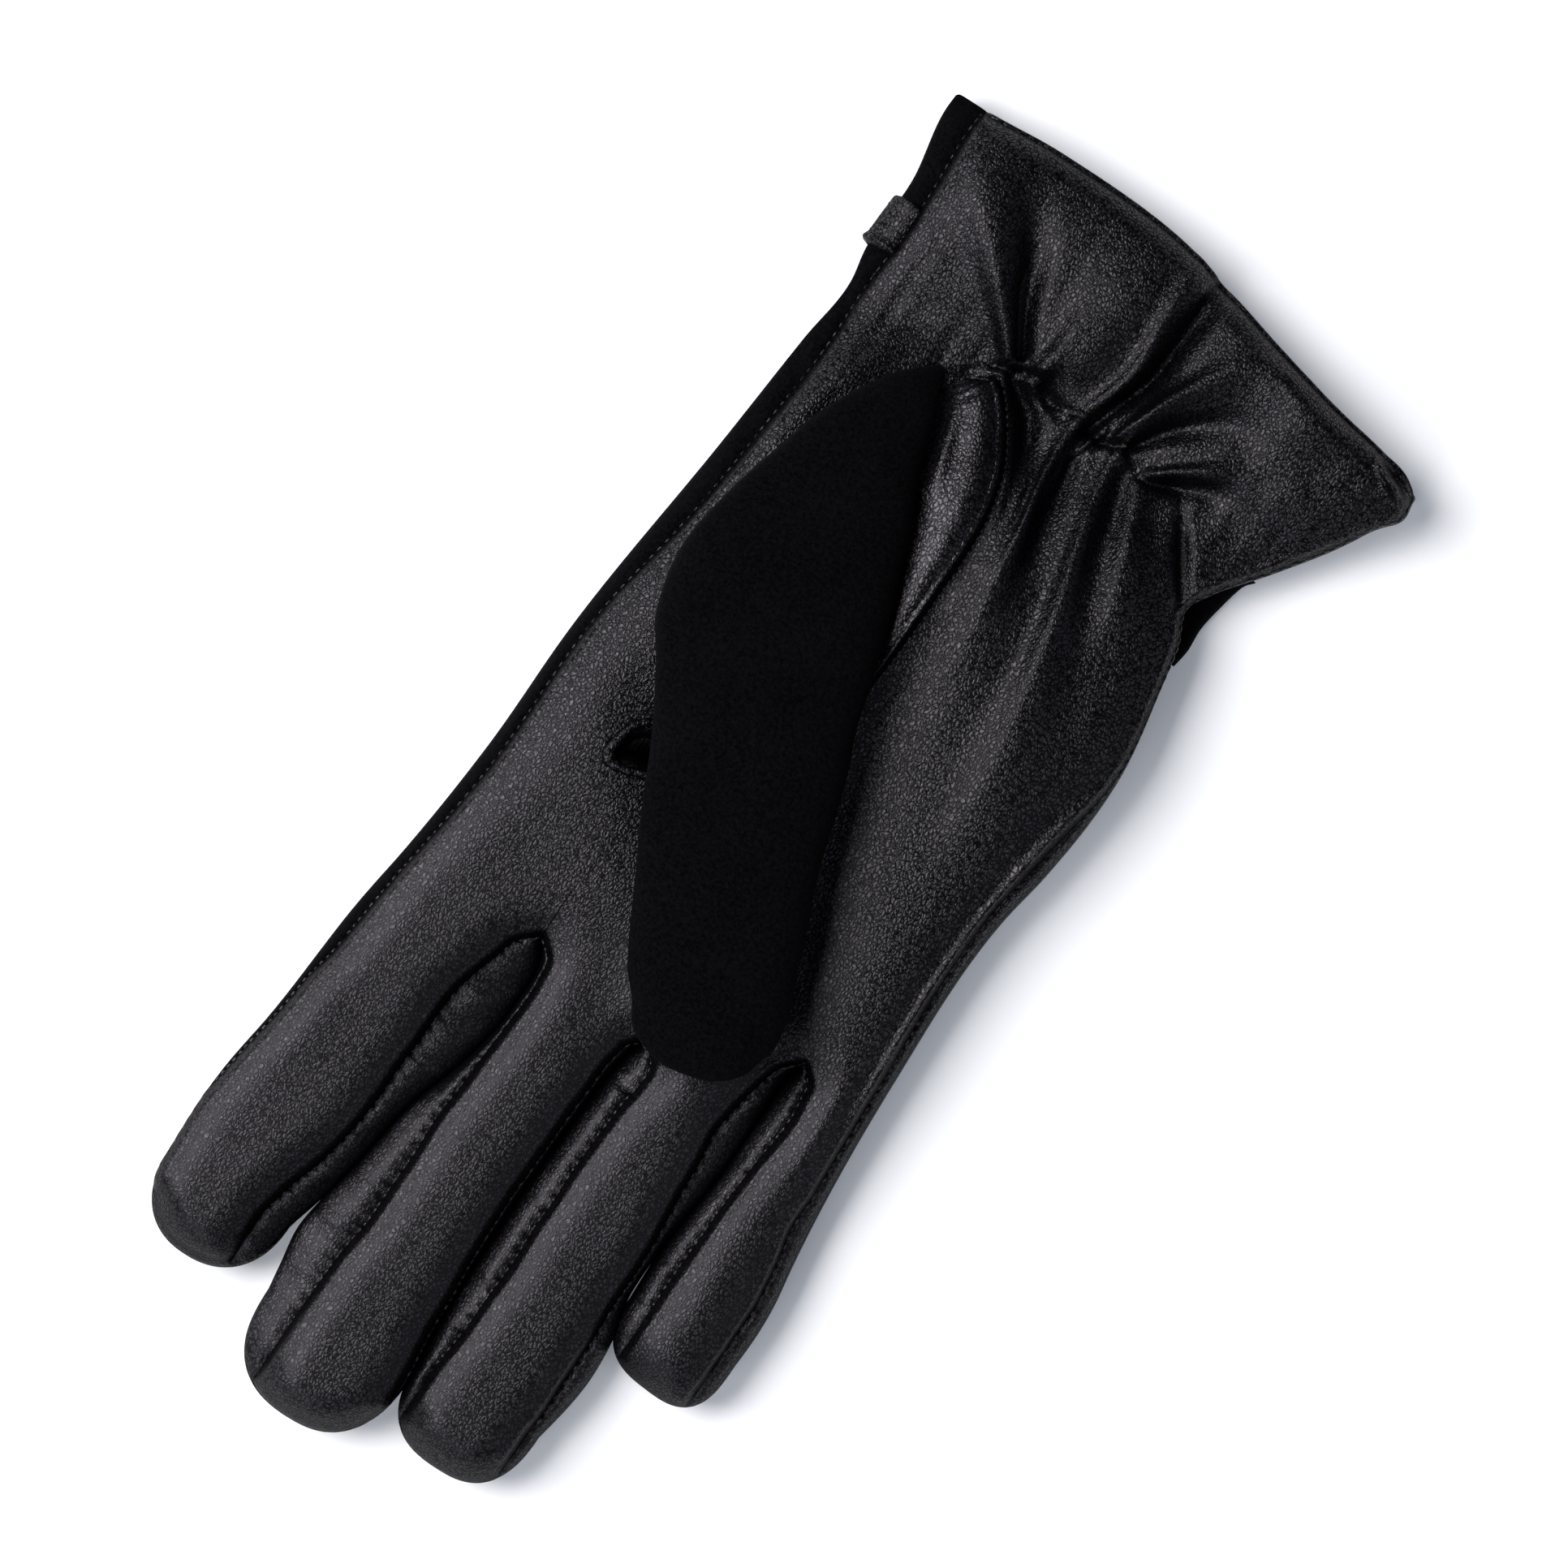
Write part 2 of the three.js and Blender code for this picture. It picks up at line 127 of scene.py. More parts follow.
def curve(table):
    """A smooth function through (y, value) pairs."""
    ys, xs = (np.array(c, float) for c in zip(*table))
    step, slope = np.diff(ys), np.diff(xs) / np.diff(ys)
    tangent = np.empty_like(xs)
    tangent[0], tangent[-1] = slope[0], slope[-1]
    tangent[1:-1] = (slope[:-1] * step[1:] + slope[1:] * step[:-1]) / (step[1:] + step[:-1])

    def at(q):
        q = np.clip(q, ys[0], ys[-1])
        i = np.clip(np.searchsorted(ys, q) - 1, 0, len(step) - 1)
        h = step[i]
        t = (q - ys[i]) / h
        return ((2 * t**3 - 3 * t**2 + 1) * xs[i] + (t**3 - 2 * t**2 + t) * h * tangent[i]
                + (3 * t**2 - 2 * t**3) * xs[i + 1] + (t**3 - t**2) * h * tangent[i + 1])

    return at


def spline(points, count):
    """count points along a Catmull-Rom curve through points of any dimension."""
    p = np.array(points, float)
    p = np.vstack([2 * p[0] - p[1], p, 2 * p[-1] - p[-2]])
    q = np.linspace(0, len(points) - 1, count)
    i = np.minimum(q.astype(int), len(points) - 2)
    t = (q - i)[:, None]
    a, b, c, d = p[i], p[i + 1], p[i + 2], p[i + 3]
    cubic = (3 * b - a - 3 * c + d) * t**3
    return 0.5 * (2 * b + (c - a) * t + (2 * a - 5 * b + 4 * c - d) * t**2 + cubic)


def smoothstep(a, b, v):
    t = np.clip((v - a) / (b - a), 0, 1)
    return t * t * (3 - 2 * t)


def bell(distance, width):
    """1 at no distance, falling off over a width."""
    return np.exp(-((distance / width) ** 2))


def roll(t, power=2.2):
    """Height share of a rounded edge at t of its width from the edge."""
    return (1 - (1 - np.clip(t, 0, 1)) ** power) ** (1 / power)


def lengths_along(line):
    """Distance along a line at each of its points."""
    return np.concatenate([[0], np.cumsum(np.linalg.norm(np.diff(line, axis=0), axis=1))])


def sampled(where, stations, line):
    """Points of a line at the places where, given the place of each of its own points."""
    return np.stack([np.interp(where, stations, line[:, k]) for k in range(line.shape[1])], 1)


def along_line(points, line):
    """For each point: distance to a polyline, share of its length, and the side it lies on."""
    a, b = line[:-1], line[1:]
    length = np.linalg.norm(b - a, axis=1)
    start = lengths_along(line)
    best = np.full(len(points), 1e9)
    share = np.zeros(len(points))
    side = np.zeros(len(points))
    for p, q, n, s in zip(a, b, length, start):
        d = (q - p) / n
        r = points - p
        t = np.clip(r @ d, 0, n)
        gap = r - t[:, None] * d
        dist = np.hypot(gap[:, 0], gap[:, 1])
        near = dist < best
        best[near] = dist[near]
        share[near] = (s + t[near]) / start[-1]
        side[near] = np.sign(d[0] * r[near, 1] - d[1] * r[near, 0])
    return best, share, side


def wander(s, pitch, seed):
    """A smooth random value along s, changing over about one pitch."""
    values = np.random.default_rng(seed).normal(size=512)
    q = (s / pitch) % 511
    i = q.astype(int)
    t = q - i
    t = t * t * (3 - 2 * t)
    return values[i] * (1 - t) + values[i + 1] * t


def between(a, b, u):
    """Rows that run from a to b, with a point at each share u."""
    return a[:, None] * (1 - u) + b[:, None] * u


# ---------- rails of the hand and fingers
left_edge, left_inset = curve(LEFT_EDGE), curve(LEFT_INSET)
right_seam, right_edge = curve(RIGHT_SEAM), curve(RIGHT_EDGE)
hem_y = curve(HEM)
ROW_STEP = 0.55  # distance between the rows of a finger
CAP_ROWS = 25  # rows that close its rounded tip


def left_seam(y):
    return left_edge(y) + left_inset(y)


def finger_rails(name):
    """Rows of a finger from SPLIT_Y to its tip: for each rail its x and y, row by row."""
    f = FINGERS[name]
    close, end = f["tip"]
    rows = np.append(np.arange(SPLIT_Y, close, ROW_STEP), close)
    arc = np.sin(np.linspace(0, np.pi / 2, CAP_ROWS + 1))[1:]
    share = np.concatenate([np.zeros(len(rows)), arc])
    y = np.concatenate([rows, np.full(len(arc), close)])
    narrow = (1 - share ** f["square"]) ** (1 / f["square"])
    lean = f["slant"] * smoothstep(0, 0.5, share)
    rails = {}

    def add(rail, x, inset=0.0):
        rails[rail] = (x, y + (end - close - inset) * share + lean * (x - f["centre"]))

    def up_to_crotch(x, k):
        """x, replaced by the line shared with the next finger below the crotch on side k."""
        return x if f["span"][k] is None else np.where(y < f["apex"][k], f["span"][k], x)

    outlines = ((0, "l", left_seam, left_edge), (1, "r", right_seam, right_edge))
    for k, side, outer_seam, outer_edge in outlines:
        inward = 1 - 2 * k
        seam = curve(f["seam_" + side]) if f["seam_" + side] else outer_seam
        edge = curve(f["edge_" + side]) if f["edge_" + side] else outer_edge
        add("edge_" + side, f["centre"] + (up_to_crotch(edge(y), k) - f["centre"]) * narrow)
        waver = 0.28 * wander(y + 7 * ORDER.index(name) + 31 * k, 7, 40) * smoothstep(34, 46, y)
        widest = 0.995 * np.abs(rails["edge_" + side][0] - f["centre"])
        reach = np.minimum(np.abs(up_to_crotch(seam(y) + waver, k) - f["centre"]), widest)
        add("seam_" + side, f["centre"] - inward * reach)
        x = up_to_crotch(edge(y) + inward * BOTTOM_INSET, k)
        if f["span"][k] is not None:
            ease = smoothstep(f["apex"][k], f["apex"][k] + 6, y)
            x = f["span"][k] * (1 - ease) + x * ease
        add("foot_" + side, f["centre"] + (x - f["centre"]) * narrow, BOTTOM_INSET)
    return rails, share


RAILS = {name: finger_rails(name) for name in ORDER}

# ---------- height of the upper leather
crown_at = curve([
    (-127, 13.2), (-118, 14.4), (-106, 14.2), (-97, 13.0), (-90, 11.0), (-84, 11.4), (-76, 13.4),
    (-64, 15.6), (-50, 16.8), (-28, 17.2), (-4, 16.9), (14, 16.2), (30, 15.4), (45, 15.0), (130, 14.4)
])
edge_at = curve([
    (-127, 10.0), (-105, 9.6), (-90, 8.2), (-82, 8.4), (-70, 10.0), (-50, 11.6), (-10, 12.0),
    (25, 11.2), (45, 10.6), (90, 10.2), (130, 9.0)
])
roll_at = curve([(-127, 9), (-95, 8), (-60, 13), (-20, 14), (10, 11), (35, 8.0), (60, 7.6), (130, 7.6)])


def measured(x, y):
    """A seam as points a quarter of a millimetre apart, with the length up to each."""
    points = np.stack([x, y], 1)
    keep = np.concatenate([[True], np.linalg.norm(np.diff(points, axis=0), axis=1) > 1e-4])
    s = lengths_along(points[keep])
    fine = np.arange(0, s[-1], 0.25)
    return sampled(fine, s, points[keep]), fine


def upper_seams():
    """Every seam that bounds the upper leather."""
    rows = np.linspace(-126.5, SPLIT_Y, 260)
    left_rows = np.maximum(rows, LEFT_EDGE[0][0])
    seams = [measured(left_seam(left_rows), left_rows), measured(right_seam(rows), rows)]
    for name in ORDER:
        for k, (side, _) in enumerate(SIDES):
            x, y = RAILS[name][0]["seam_" + side]
            live = y >= (FINGERS[name]["apex"][k] or SPLIT_Y) - 0.3
            seams.append(measured(x[live], y[live]))
    return seams


seams = upper_seams()
seam_points = np.vstack([points for points, _ in seams])
seam_arc = np.concatenate([arc + 100 * k for k, (_, arc) in enumerate(seams)])
seam_tree = KDTree(len(seam_points))
for i, (x, y) in enumerate(seam_points):
    seam_tree.insert((x, y, 0), i)
seam_tree.balance()


def seam_distance(points):
    """Distance from each point to the nearest seam, and the place along that seam."""
    dist, arc = np.empty(len(points)), np.empty(len(points))
    for i, (x, y) in enumerate(points):
        _, k, d = seam_tree.find((x, y, 0))
        dist[i], arc[i] = d, seam_arc[k]
    return dist, arc


# Line of the elastic under the leather.
GATHER = [
    (22, -85.6), (17.2, -88.8), (12.2, -91.6), (7.4, -93.2), (3.4, -90.9), (-2.2, -91.9), (-6.9, -89.9),
    (-11.2, -91.3), (-17.6, -88.7), (-22.8, -91.2), (-28.0, -84.0), (-34, -75.0)
]
# Folds of the upper leather: line, height and width at each of its points, and the skew between
# its two sides.
FOLDS = [
    # cuff: ridges that run from the hem down to the gathers
    ([(39, -121), (29, -109.7), (18, -98), (13.6, -92.8)],
     (0.2, 1.9, 3.0, 2.0), (8, 5.5, 2.8, 1.2), 0.25),
    ([(2, -123), (2.5, -110), (4.0, -99), (7.4, -93.6)], (0.6, 1.6, 2.0, 1.4), (7, 6, 4.4, 1.8), 0.1),
    ([(7.6, -112), (7.2, -101), (7.9, -93.8)], (0.2, 1.0, 1.6), (3, 1.8, 0.9), 0.2),
    ([(-4.6, -124.5), (-5.0, -112), (-5.5, -102), (-2.6, -93.0)],
     (0.9, 1.6, 1.8, 1.6), (1.3, 1.1, 1.1, 0.9), 0.0),
    ([(-26, -116), (-20, -113.2), (-14, -103.5), (-11.0, -97), (-9.3, -92.4)],
     (0.2, 1.4, 2.1, 2.5, 1.8), (4, 3.4, 2.2, 1.6, 1.0), 0.3),
    ([(-29, -98), (-22.8, -94.2), (-18.4, -91.0), (-16.9, -89.6)],
     (0.6, 1.7, 2.2, 1.4), (3, 1.7, 1.1, 0.8), 0.3),
    ([(-31, -114), (-33, -109.5), (-35, -103)], (0.4, 1.4, 0.6), (5, 5.5, 5), 0.0),
    ([(-47, -108), (-40, -100), (-33, -95)], (0.2, 0.9, 0.2), (4, 4, 3), 0.0),
    # cuff: valleys between them
    ([(26, -119), (19.8, -110), (15.4, -101), (11.6, -94.6)],
     (-0.3, -1.9, -2.8, -2.8), (3.4, 2.5, 1.6, 1.0), 0.2),
    ([(-9.6, -124), (-8.9, -112.5), (-8.4, -103.5), (-6.0, -96.4), (-4.4, -90.6)],
     (-2.6, -3.6, -3.8, -3.2, -2.0), (2.2, 1.9, 1.7, 1.4, 0.9), 0.45),
    ([(-31, -108), (-22, -103.4), (-15.7, -97.6), (-12.4, -92.6)],
     (-0.2, -1.3, -2.6, -2.4), (4, 2.6, 1.7, 1.1), 0.3),
    ([(-33, -96), (-27, -93.4), (-21, -90.2)], (-0.2, -1.5, -2.2), (3, 1.7, 1.1), 0.2),
    # palm: ridges that run from the gathers towards the fingers
    ([(12.6, -90), (8.7, -85.5), (4.4, -79.4), (1.2, -72), (-0.9, -62)],
     (1.0, 1.9, 1.7, 1.3, 0.2), (0.7, 0.9, 1.1, 1.5, 2), 0.0),
    ([(3.4, -84), (-0.6, -76), (-3.0, -64), (-2.4, -50)],
     (0.2, 1.4, 1.3, 0.1), (1.3, 1.7, 2.4, 3), 0.2),
    ([(-2.3, -92), (-1.9, -88), (-2.4, -80), (-4.4, -70), (-6.5, -58), (-9, -44)],
     (1.4, 2.2, 2.3, 1.8, 1.1, 0.2), (0.9, 1.0, 1.2, 2.2, 3.4, 4.5), 0.3),
    ([(-6.9, -93), (-5.9, -89.5), (-4.9, -86)], (0.6, 1.9, 0.8), (0.6, 0.7, 0.7), 0.0),
    ([(-10.4, -89.2), (-11.6, -82), (-13.6, -73.5), (-16.7, -62.5), (-20.6, -47), (-24, -29), (-26, -14)],
     (1.2, 2.1, 2.4, 2.2, 1.7, 1.0, 0.2), (0.9, 1.3, 2.0, 3.4, 5, 6, 6.5), 0.3),
    ([(-16.2, -87.4), (-19.4, -80.4), (-23, -72), (-27, -60)],
     (1.3, 1.5, 0.9, 0.1), (1.2, 2.3, 3.4, 5), 0.35),
    # palm: valleys between them
    ([(10.4, -90.4), (5.6, -87), (2.6, -82), (0.9, -77)],
     (-2.2, -3.2, -2.6, -0.5), (1.2, 1.9, 1.5, 1.1), 0.2),
    ([(-4.3, -89.4), (-5.9, -81), (-7.8, -71), (-10.5, -59)],
     (-1.4, -2.1, -1.3, -0.1), (1.0, 1.4, 2.2, 3.4), 0.3),
    ([(-13.4, -88.2), (-15.8, -80.5), (-18.6, -71), (-22, -60)],
     (-1.3, -1.4, -0.6, -0.1), (0.9, 1.4, 2.2, 3), 0.3),
    # palm: the hollow beside the thumb
    ([(1, -56), (-3.5, -32), (-9, -8), (-15, 10), (-19, 25)],
     (-0.3, -1.4, -1.7, -1.6, -0.5), (3, 5, 6.5, 7, 5), 0.2),
    # folds tucked in beside the elastic
    ([(21.3, -86.9), (16.8, -89.2), (12.9, -90.8), (10.6, -94.8), (9.0, -97)],
     (0.3, 1.1, 1.5, 1.0, 0.2), (0.7, 0.7, 0.8, 0.7, 0.8), 0.0),
    ([(4.6, -95.4), (4.8, -92), (1.3, -89.8)], (-0.8, -2.2, -1.0), (1.0, 1.3, 1.1), 0.0),
    ([(-11.6, -94), (-11.3, -91), (-12.8, -88.6)], (0.7, 1.5, 0.7), (0.7, 0.7, 0.7), 0.0),
    # palm: ridge beside the seam of the little side
    ([(-40.2, -42), (-37.6, -29), (-36.0, -14), (-35.5, 0), (-36, 16), (-36.8, 32)],
     (0.2, 1.4, 1.6, 1.6, 1.3, 0.2), (1.1, 1.2, 1.3, 1.3, 1.3, 1.2), 0.0),
    # cuff: broad swell inside the hem
    ([(-20, -116.5), (-30, -114.8), (-40, -112), (-47, -109)], (0.3, 1.6, 1.8, 0.4), (4, 5, 5, 4), 0.0),
    # the gathered line itself, broken where one fold lies over the next
    (GATHER,
     (-0.3, -1.0, -2.0, -1.8, -0.5, -1.6, -0.6, -1.6, -0.8, -1.6, -2.4, -1.6),
     (1.2, 0.7, 0.8, 0.7, 0.6, 0.7, 0.6, 0.7, 0.6, 0.9, 1.2, 1.4), 0.0),
    # the cuff's turned corner
    ([(-47.5, -113.0), (-50, -111.6), (-53, -110.2), (-55.4, -109)],
     (0.3, 2.4, 3.0, 1.4), (0.6, 0.8, 1.0, 1.1), 0.3),
    ([(-49.2, -114.2), (-52.4, -112.6), (-54.6, -111.4)], (-0.6, -1.8, -0.8), (0.7, 0.9, 0.9), 0.0),
    # leather drawn up to the root of the thumb
    ([(26, -90), (34, -78), (39, -62), (43, -44)], (0.2, 1.1, 1.1, 0.2), (2.4, 2.6, 2.6, 2.4), 0.0),
    # hollow of the quirk slit beside the thumb
    ([(30.2, -2.2), (28, -3.8), (25, -5)], (-2.4, -5.5, -6.5), (1.3, 2.0, 2.6), 0.0),
]
FOLD_GAIN = 1.1


def fold_height(points):
    """Height that the folds and the small ripples beside the elastic add."""
    total = np.zeros(len(points))
    for line, heights, widths, skew in FOLDS:
        dist, share, side = along_line(points, spline(line, 8 * len(line)))
        stations = np.linspace(0, 1, len(heights))
        height, width = np.interp(share, stations, heights), np.interp(share, stations, widths)
        total += FOLD_GAIN * height * bell(dist, width * (1 + skew * side))
    dist, share, side = along_line(points, spline(GATHER, 120))
    ripple = np.cos(2 * np.pi * (share * 17 + 0.5 * wander(share, 0.06, 21) + 0.22 * side))
    reach = smoothstep(0.06, 0.2, share) * (1 - smoothstep(0.62, 0.74, share))
    return total + 0.35 * ripple * bell(dist, 2.6) * reach


def leather_height(points, crown_lift=0.0):
    """Height of the upper leather over (x, y) points."""
    x, y = points[:, 0], points[:, 1]
    d, arc = seam_distance(points)
    high, low = crown_at(y) + crown_lift, edge_at(y)
    z = low + (high - low) * roll(d / roll_at(y))
    z += fold_height(points) * np.minimum(1, 0.25 + d / 2.5)
    # soft unevenness of worn leather
    z += 0.35 * wander(x + 0.7 * y, 17, 3) * wander(y - 0.4 * x + 60, 23, 4) * np.minimum(1, d / 6)
    # puckers along the seams, from the pull of the stitches
    pull = np.exp(-d / 1.7) * (0.65 + 0.35 * wander(arc, 5, 8))
    z += 0.12 * pull * np.cos(2 * np.pi * (arc / 1.75 + 0.25 * wander(arc, 6, 5)))
    z += 0.32 * bell(d - 1.25, 0.6) - 0.6 * bell(d, 0.6)
    # fine creases that run out of the gathers
    hand = 1 - smoothstep(-70, -45, y)
    z += 0.14 * hand * wander(x * 1.2 + 80, 2.2, 11) * (0.4 + bell(y + 90, 9)) * np.minimum(1, d / 3)
    # the hem rolls over
    z -= 3.0 * (1 - roll(np.maximum(y - hem_y(x), 0) / 4.0, 1.5))
    return z


# ---------- patches and pieces
class Piece:
    """A mesh under construction: grids of points with a material each."""

    def __init__(self, name):
        self.name, self.verts, self.faces, self.looks, self.groups = name, [], [], [], []
        self.count = 0

    def grid(self, points, look, group, flip=False, closed=False):
        """Add an (rows, columns, 3) grid."""
        rows, cols = points.shape[:2]
        index = np.arange(rows * cols).reshape(rows, cols) + self.count
        if closed:
            index = np.hstack([index, index[:, :1]])
        a, b = index[:-1, :-1], index[:-1, 1:]
        c, d = index[1:, 1:], index[1:, :-1]
        quads = np.stack([a, d, c, b] if flip else [a, b, c, d], -1).reshape(-1, 4)
        self.verts.append(points.reshape(-1, 3))
        self.faces.append(quads)
        self.looks.append(np.full(len(quads), look))
        self.groups.append(np.full(rows * cols, group))
        self.count += rows * cols


pieces = {}


def piece(name):
    return pieces.setdefault(name, Piece(name))


def split_grid(name, kind, points, cut, look, group, **how):
    """Points of a finger, shared out between its base piece and its tip piece."""
    piece(f"{name}_base_{kind}").grid(points[:cut + 1], look, group, **how)
    piece(f"{name}_tip_{kind}").grid(points[cut:], look, group, **how)


def vertex_normals():
    """Normals that run on across pieces: points at one place in one group share a normal."""
    verts = np.vstack([np.vstack(p.verts) for p in pieces.values()])
    group = np.concatenate([np.concatenate(p.groups) for p in pieces.values()])
    faces, start = [], 0
    for p in pieces.values():
        faces.append(np.vstack(p.faces) + start)
        start += p.count
    faces = np.vstack(faces)
    keys = np.round(np.column_stack([verts, group * 1000]), 3)
    _, same = np.unique(keys, axis=0, return_inverse=True)
    same = same.reshape(-1)
    a, b, c, d = (verts[faces[:, k]] for k in range(4))
    normal = np.cross(c - a, d - b)
    total = np.zeros((same.max() + 1, 3))
    for k in range(4):
        np.add.at(total, same[faces[:, k]], normal)
    total /= np.maximum(np.linalg.norm(total, axis=1), 1e-9)[:, None]
    normals, start = {}, 0
    for name, p in pieces.items():
        normals[name] = total[same[start:start + p.count]]
        start += p.count
    return normals


def make_mesh(p, normals, materials):
    """Blender object of a piece, without faces that have no area."""
    verts, faces, looks = np.vstack(p.verts), np.vstack(p.faces), np.concatenate(p.looks)
    corner = verts[faces]
    area = np.linalg.norm(np.cross(corner[:, 2] - corner[:, 0], corner[:, 3] - corner[:, 1]), axis=1)
    good = area > 1e-5
    mesh = bpy.data.meshes.new(p.name)
    mesh.from_pydata((verts * MM).tolist(), [], faces[good].tolist())
    names = sorted(set(looks[good].tolist()))
    for name in names:
        mesh.materials.append(materials[name])
    slots = {name: k for k, name in enumerate(names)}
    mesh.polygons.foreach_set("material_index", np.array([slots[n] for n in looks[good]], np.int32))
    mesh.polygons.foreach_set("use_smooth", np.ones(len(mesh.polygons), bool))
    mesh.normals_split_custom_set_from_vertices(normals.tolist())
    mesh.update()
    obj = bpy.data.objects.new(p.name, mesh)
    bpy.context.scene.collection.objects.link(obj)
    return obj


# ---------- hand and fingers
COLUMNS = 36
u_even = np.linspace(0, 1, COLUMNS + 1)
U = u_even - 0.085 * np.sin(2 * np.pi * u_even)  # closer together at the seams
U_UNDER = U[::3]
TOP, SIDE, UNDER, EXTRA = 1, 2, 3, 4  # groups of points that share normals
THUMB_GROUP, GUSSET_GROUP = 10, 20  # added to them for these parts
TIP_ROLL = 8.5  # how far the top of a finger rolls over at its end
UNDER_ROUND = 1.4  # rounding of the underside towards its seams


def wall(seam, edge, foot, seam_z, edge_z, foot_z, bulge, seed):
    """Side wall of a finger: from the upper seam out to the edge and back in to the lower seam."""
    top = np.linspace(0, np.pi / 2, 13)
    low = np.linspace(0, np.pi / 2, 7)[1:]
    arc = lengths_along(np.stack(seam, 1))[:, None]
    wide = np.hypot(edge[0] - seam[0], edge[1] - seam[1])[:, None]
    share = np.sin(top)[None]
    x1 = seam[0][:, None] + (edge[0] - seam[0])[:, None] * share
    y1 = seam[1][:, None] + (edge[1] - seam[1])[:, None] * share
    calm = np.convolve(np.pad(seam_z, 4, mode="edge"), np.ones(9) / 9, mode="valid")
    z1 = edge_z + (calm - edge_z)[:, None] * np.cos(top)[None] ** 0.9
    z1 = z1 + (seam_z - calm)[:, None] * np.exp(-share * wide / 0.9) * (share < 1)
    z1 = z1 + bulge * np.minimum(wide / 5, 1) * np.sin(np.pi * np.minimum(share * 1.5, 1))
    middle = np.sin(np.pi * share) * np.minimum(wide / 4, 1)
    z1 = z1 + 0.22 * middle * wander(arc + 3 * share, 4.5, seed)
    z1 = z1 + 0.12 * middle * wander(arc, 1.6, seed + 9)
    back = 1 - np.cos(low)[None]
    x2 = edge[0][:, None] + (foot[0] - edge[0])[:, None] * back
    y2 = edge[1][:, None] + (foot[1] - edge[1])[:, None] * back
    z2 = edge_z + (foot_z - edge_z)[:, None] * np.sin(low)[None]
    return np.stack([np.hstack([x1, x2]), np.hstack([y1, y2]), np.hstack([z1, z2])], -1)


def finger_top(name):
    """Palm-side leather of a finger, rolled down over the finger's end."""
    f = FINGERS[name]
    rails, share = RAILS[name]
    left, right = rails["seam_l"], rails["seam_r"]
    x, y = between(left[0], right[0], U[None]), between(left[1], right[1], U[None])
    flat = np.column_stack([x.ravel(), y.ravel()])
    lift = (f["crown"] - 15.0) * smoothstep(30, 50, flat[:, 1])
    z = leather_height(flat, lift).reshape(x.shape)
    half_width = (rails["edge_r"][0] - rails["edge_l"][0])[share > 0][0] / 2
    reach = np.abs(x - f["centre"]) / half_width * smoothstep(0, 0.6, share)[:, None]
    level = np.minimum((reach ** f["square"] + share[:, None] ** f["square"]) ** (1 / f["square"]), 1)
    z = EDGE_Z + (z - EDGE_Z) * roll((1 - level) * (f["tip"][1] - f["tip"][0]) / TIP_ROLL, 2)
    if name == "index":  # the seam round its end, a groove and a welt
        z -= 0.5 * bell(level - 0.9, 0.035) * (share[:, None] > 0)
        z += 0.3 * bell(level - 0.97, 0.04) * (share[:, None] > 0)
    return np.stack([x, y, z], -1)


def finger_wall(name, side, seam_z, seed):
    """Side wall of a finger from its crotch on, and the row where it starts."""
    rails, share = RAILS[name]
    apex = FINGERS[name]["apex"][0 if side == "l" else 1]
    first = 0 if apex is None else max(int(np.searchsorted(rails["edge_l"][1], apex)) - 1, 0)
    names = ("seam_" + side, "edge_" + side, "foot_" + side)
    seam, edge, foot = (tuple(v[first:] for v in rails[rail]) for rail in names)
    foot_z = FOOT_Z + 1.6 * share[first:] ** 2
    return first, wall(seam, edge, foot, seam_z[first:], EDGE_Z, foot_z, 0.3, seed)


def finger_underside(name):
    """Suede under a finger, flat between its rounded sides."""
    rails, share = RAILS[name]
    left, right = rails["foot_l"], rails["foot_r"]
    x, y = between(left[0], right[0], U_UNDER[None]), between(left[1], right[1], U_UNDER[None])
    gaps = []
    for (_, column), apex in zip(SIDES, FINGERS[name]["apex"]):
        gap = np.abs(x - x[:, column, None])
        gaps.append(gap if apex is None else np.where(y < apex, 9, gap))
    rise = FOOT_Z + 1.6 * share[:, None] ** 2
    return np.stack([x, y, rise * np.exp(-np.minimum(*gaps) / UNDER_ROUND)], -1)


def build_finger(name, seed):
    """Top, walls and underside of a finger, cut half way between its two knuckles."""
    f = FINGERS[name]
    f["cut"] = cut = int(np.searchsorted(RAILS[name][0]["edge_l"][1], sum(f["knuckles"]) / 2))
    f["top"] = finger_top(name)
    split_grid(name, "leather", f["top"], cut, "leather", TOP)
    for side, column in SIDES:
        first, points = f["wall_" + side] = finger_wall(name, side, f["top"][:, column, 2], seed)
        kind = "suede" if (name, side) == ("index", "r") else "leather"
        split_grid(name, kind, points, cut - first, kind, SIDE, flip=side == "r")
    f["under"] = finger_underside(name)
    split_grid(name, "suede", f["under"], cut, "suede", UNDER, flip=True)


MOUTH_Y = -126
row_y = np.linspace(MOUTH_Y, SPLIT_Y, 262)
hem_share = 1 - smoothstep(MOUTH_Y, -94, row_y)
hem_y_left = hem_y(LEFT_EDGE[0][1])
row_left_y = row_y + hem_share * (hem_y_left - MOUTH_Y)


def hand_panel(left, right, u):
    """x and y of the hand's rows; they follow the slanted hem and end on the fingers' first rows."""
    width = right[-1] - left[-1]
    crotches = [FINGERS[name]["span"][1] for name in ORDER[:-1]]
    bounds = [0] + [(x - left[-1]) / width for x in crotches] + [1]
    shares = [low + (high - low) * u for low, high in zip(bounds[:-1], bounds[1:])]
    x = between(left, right, np.concatenate([shares[0]] + [s[1:] for s in shares[1:]])[None])
    return x, row_y[:, None] + hem_share[:, None] * (hem_y(x) - MOUTH_Y)


def hand_upper():
    x, y = hand_panel(left_seam(row_left_y), right_seam(row_y), U)
    z = leather_height(np.column_stack([x.ravel(), y.ravel()])).reshape(x.shape)
    return np.stack([x, y, z], -1)


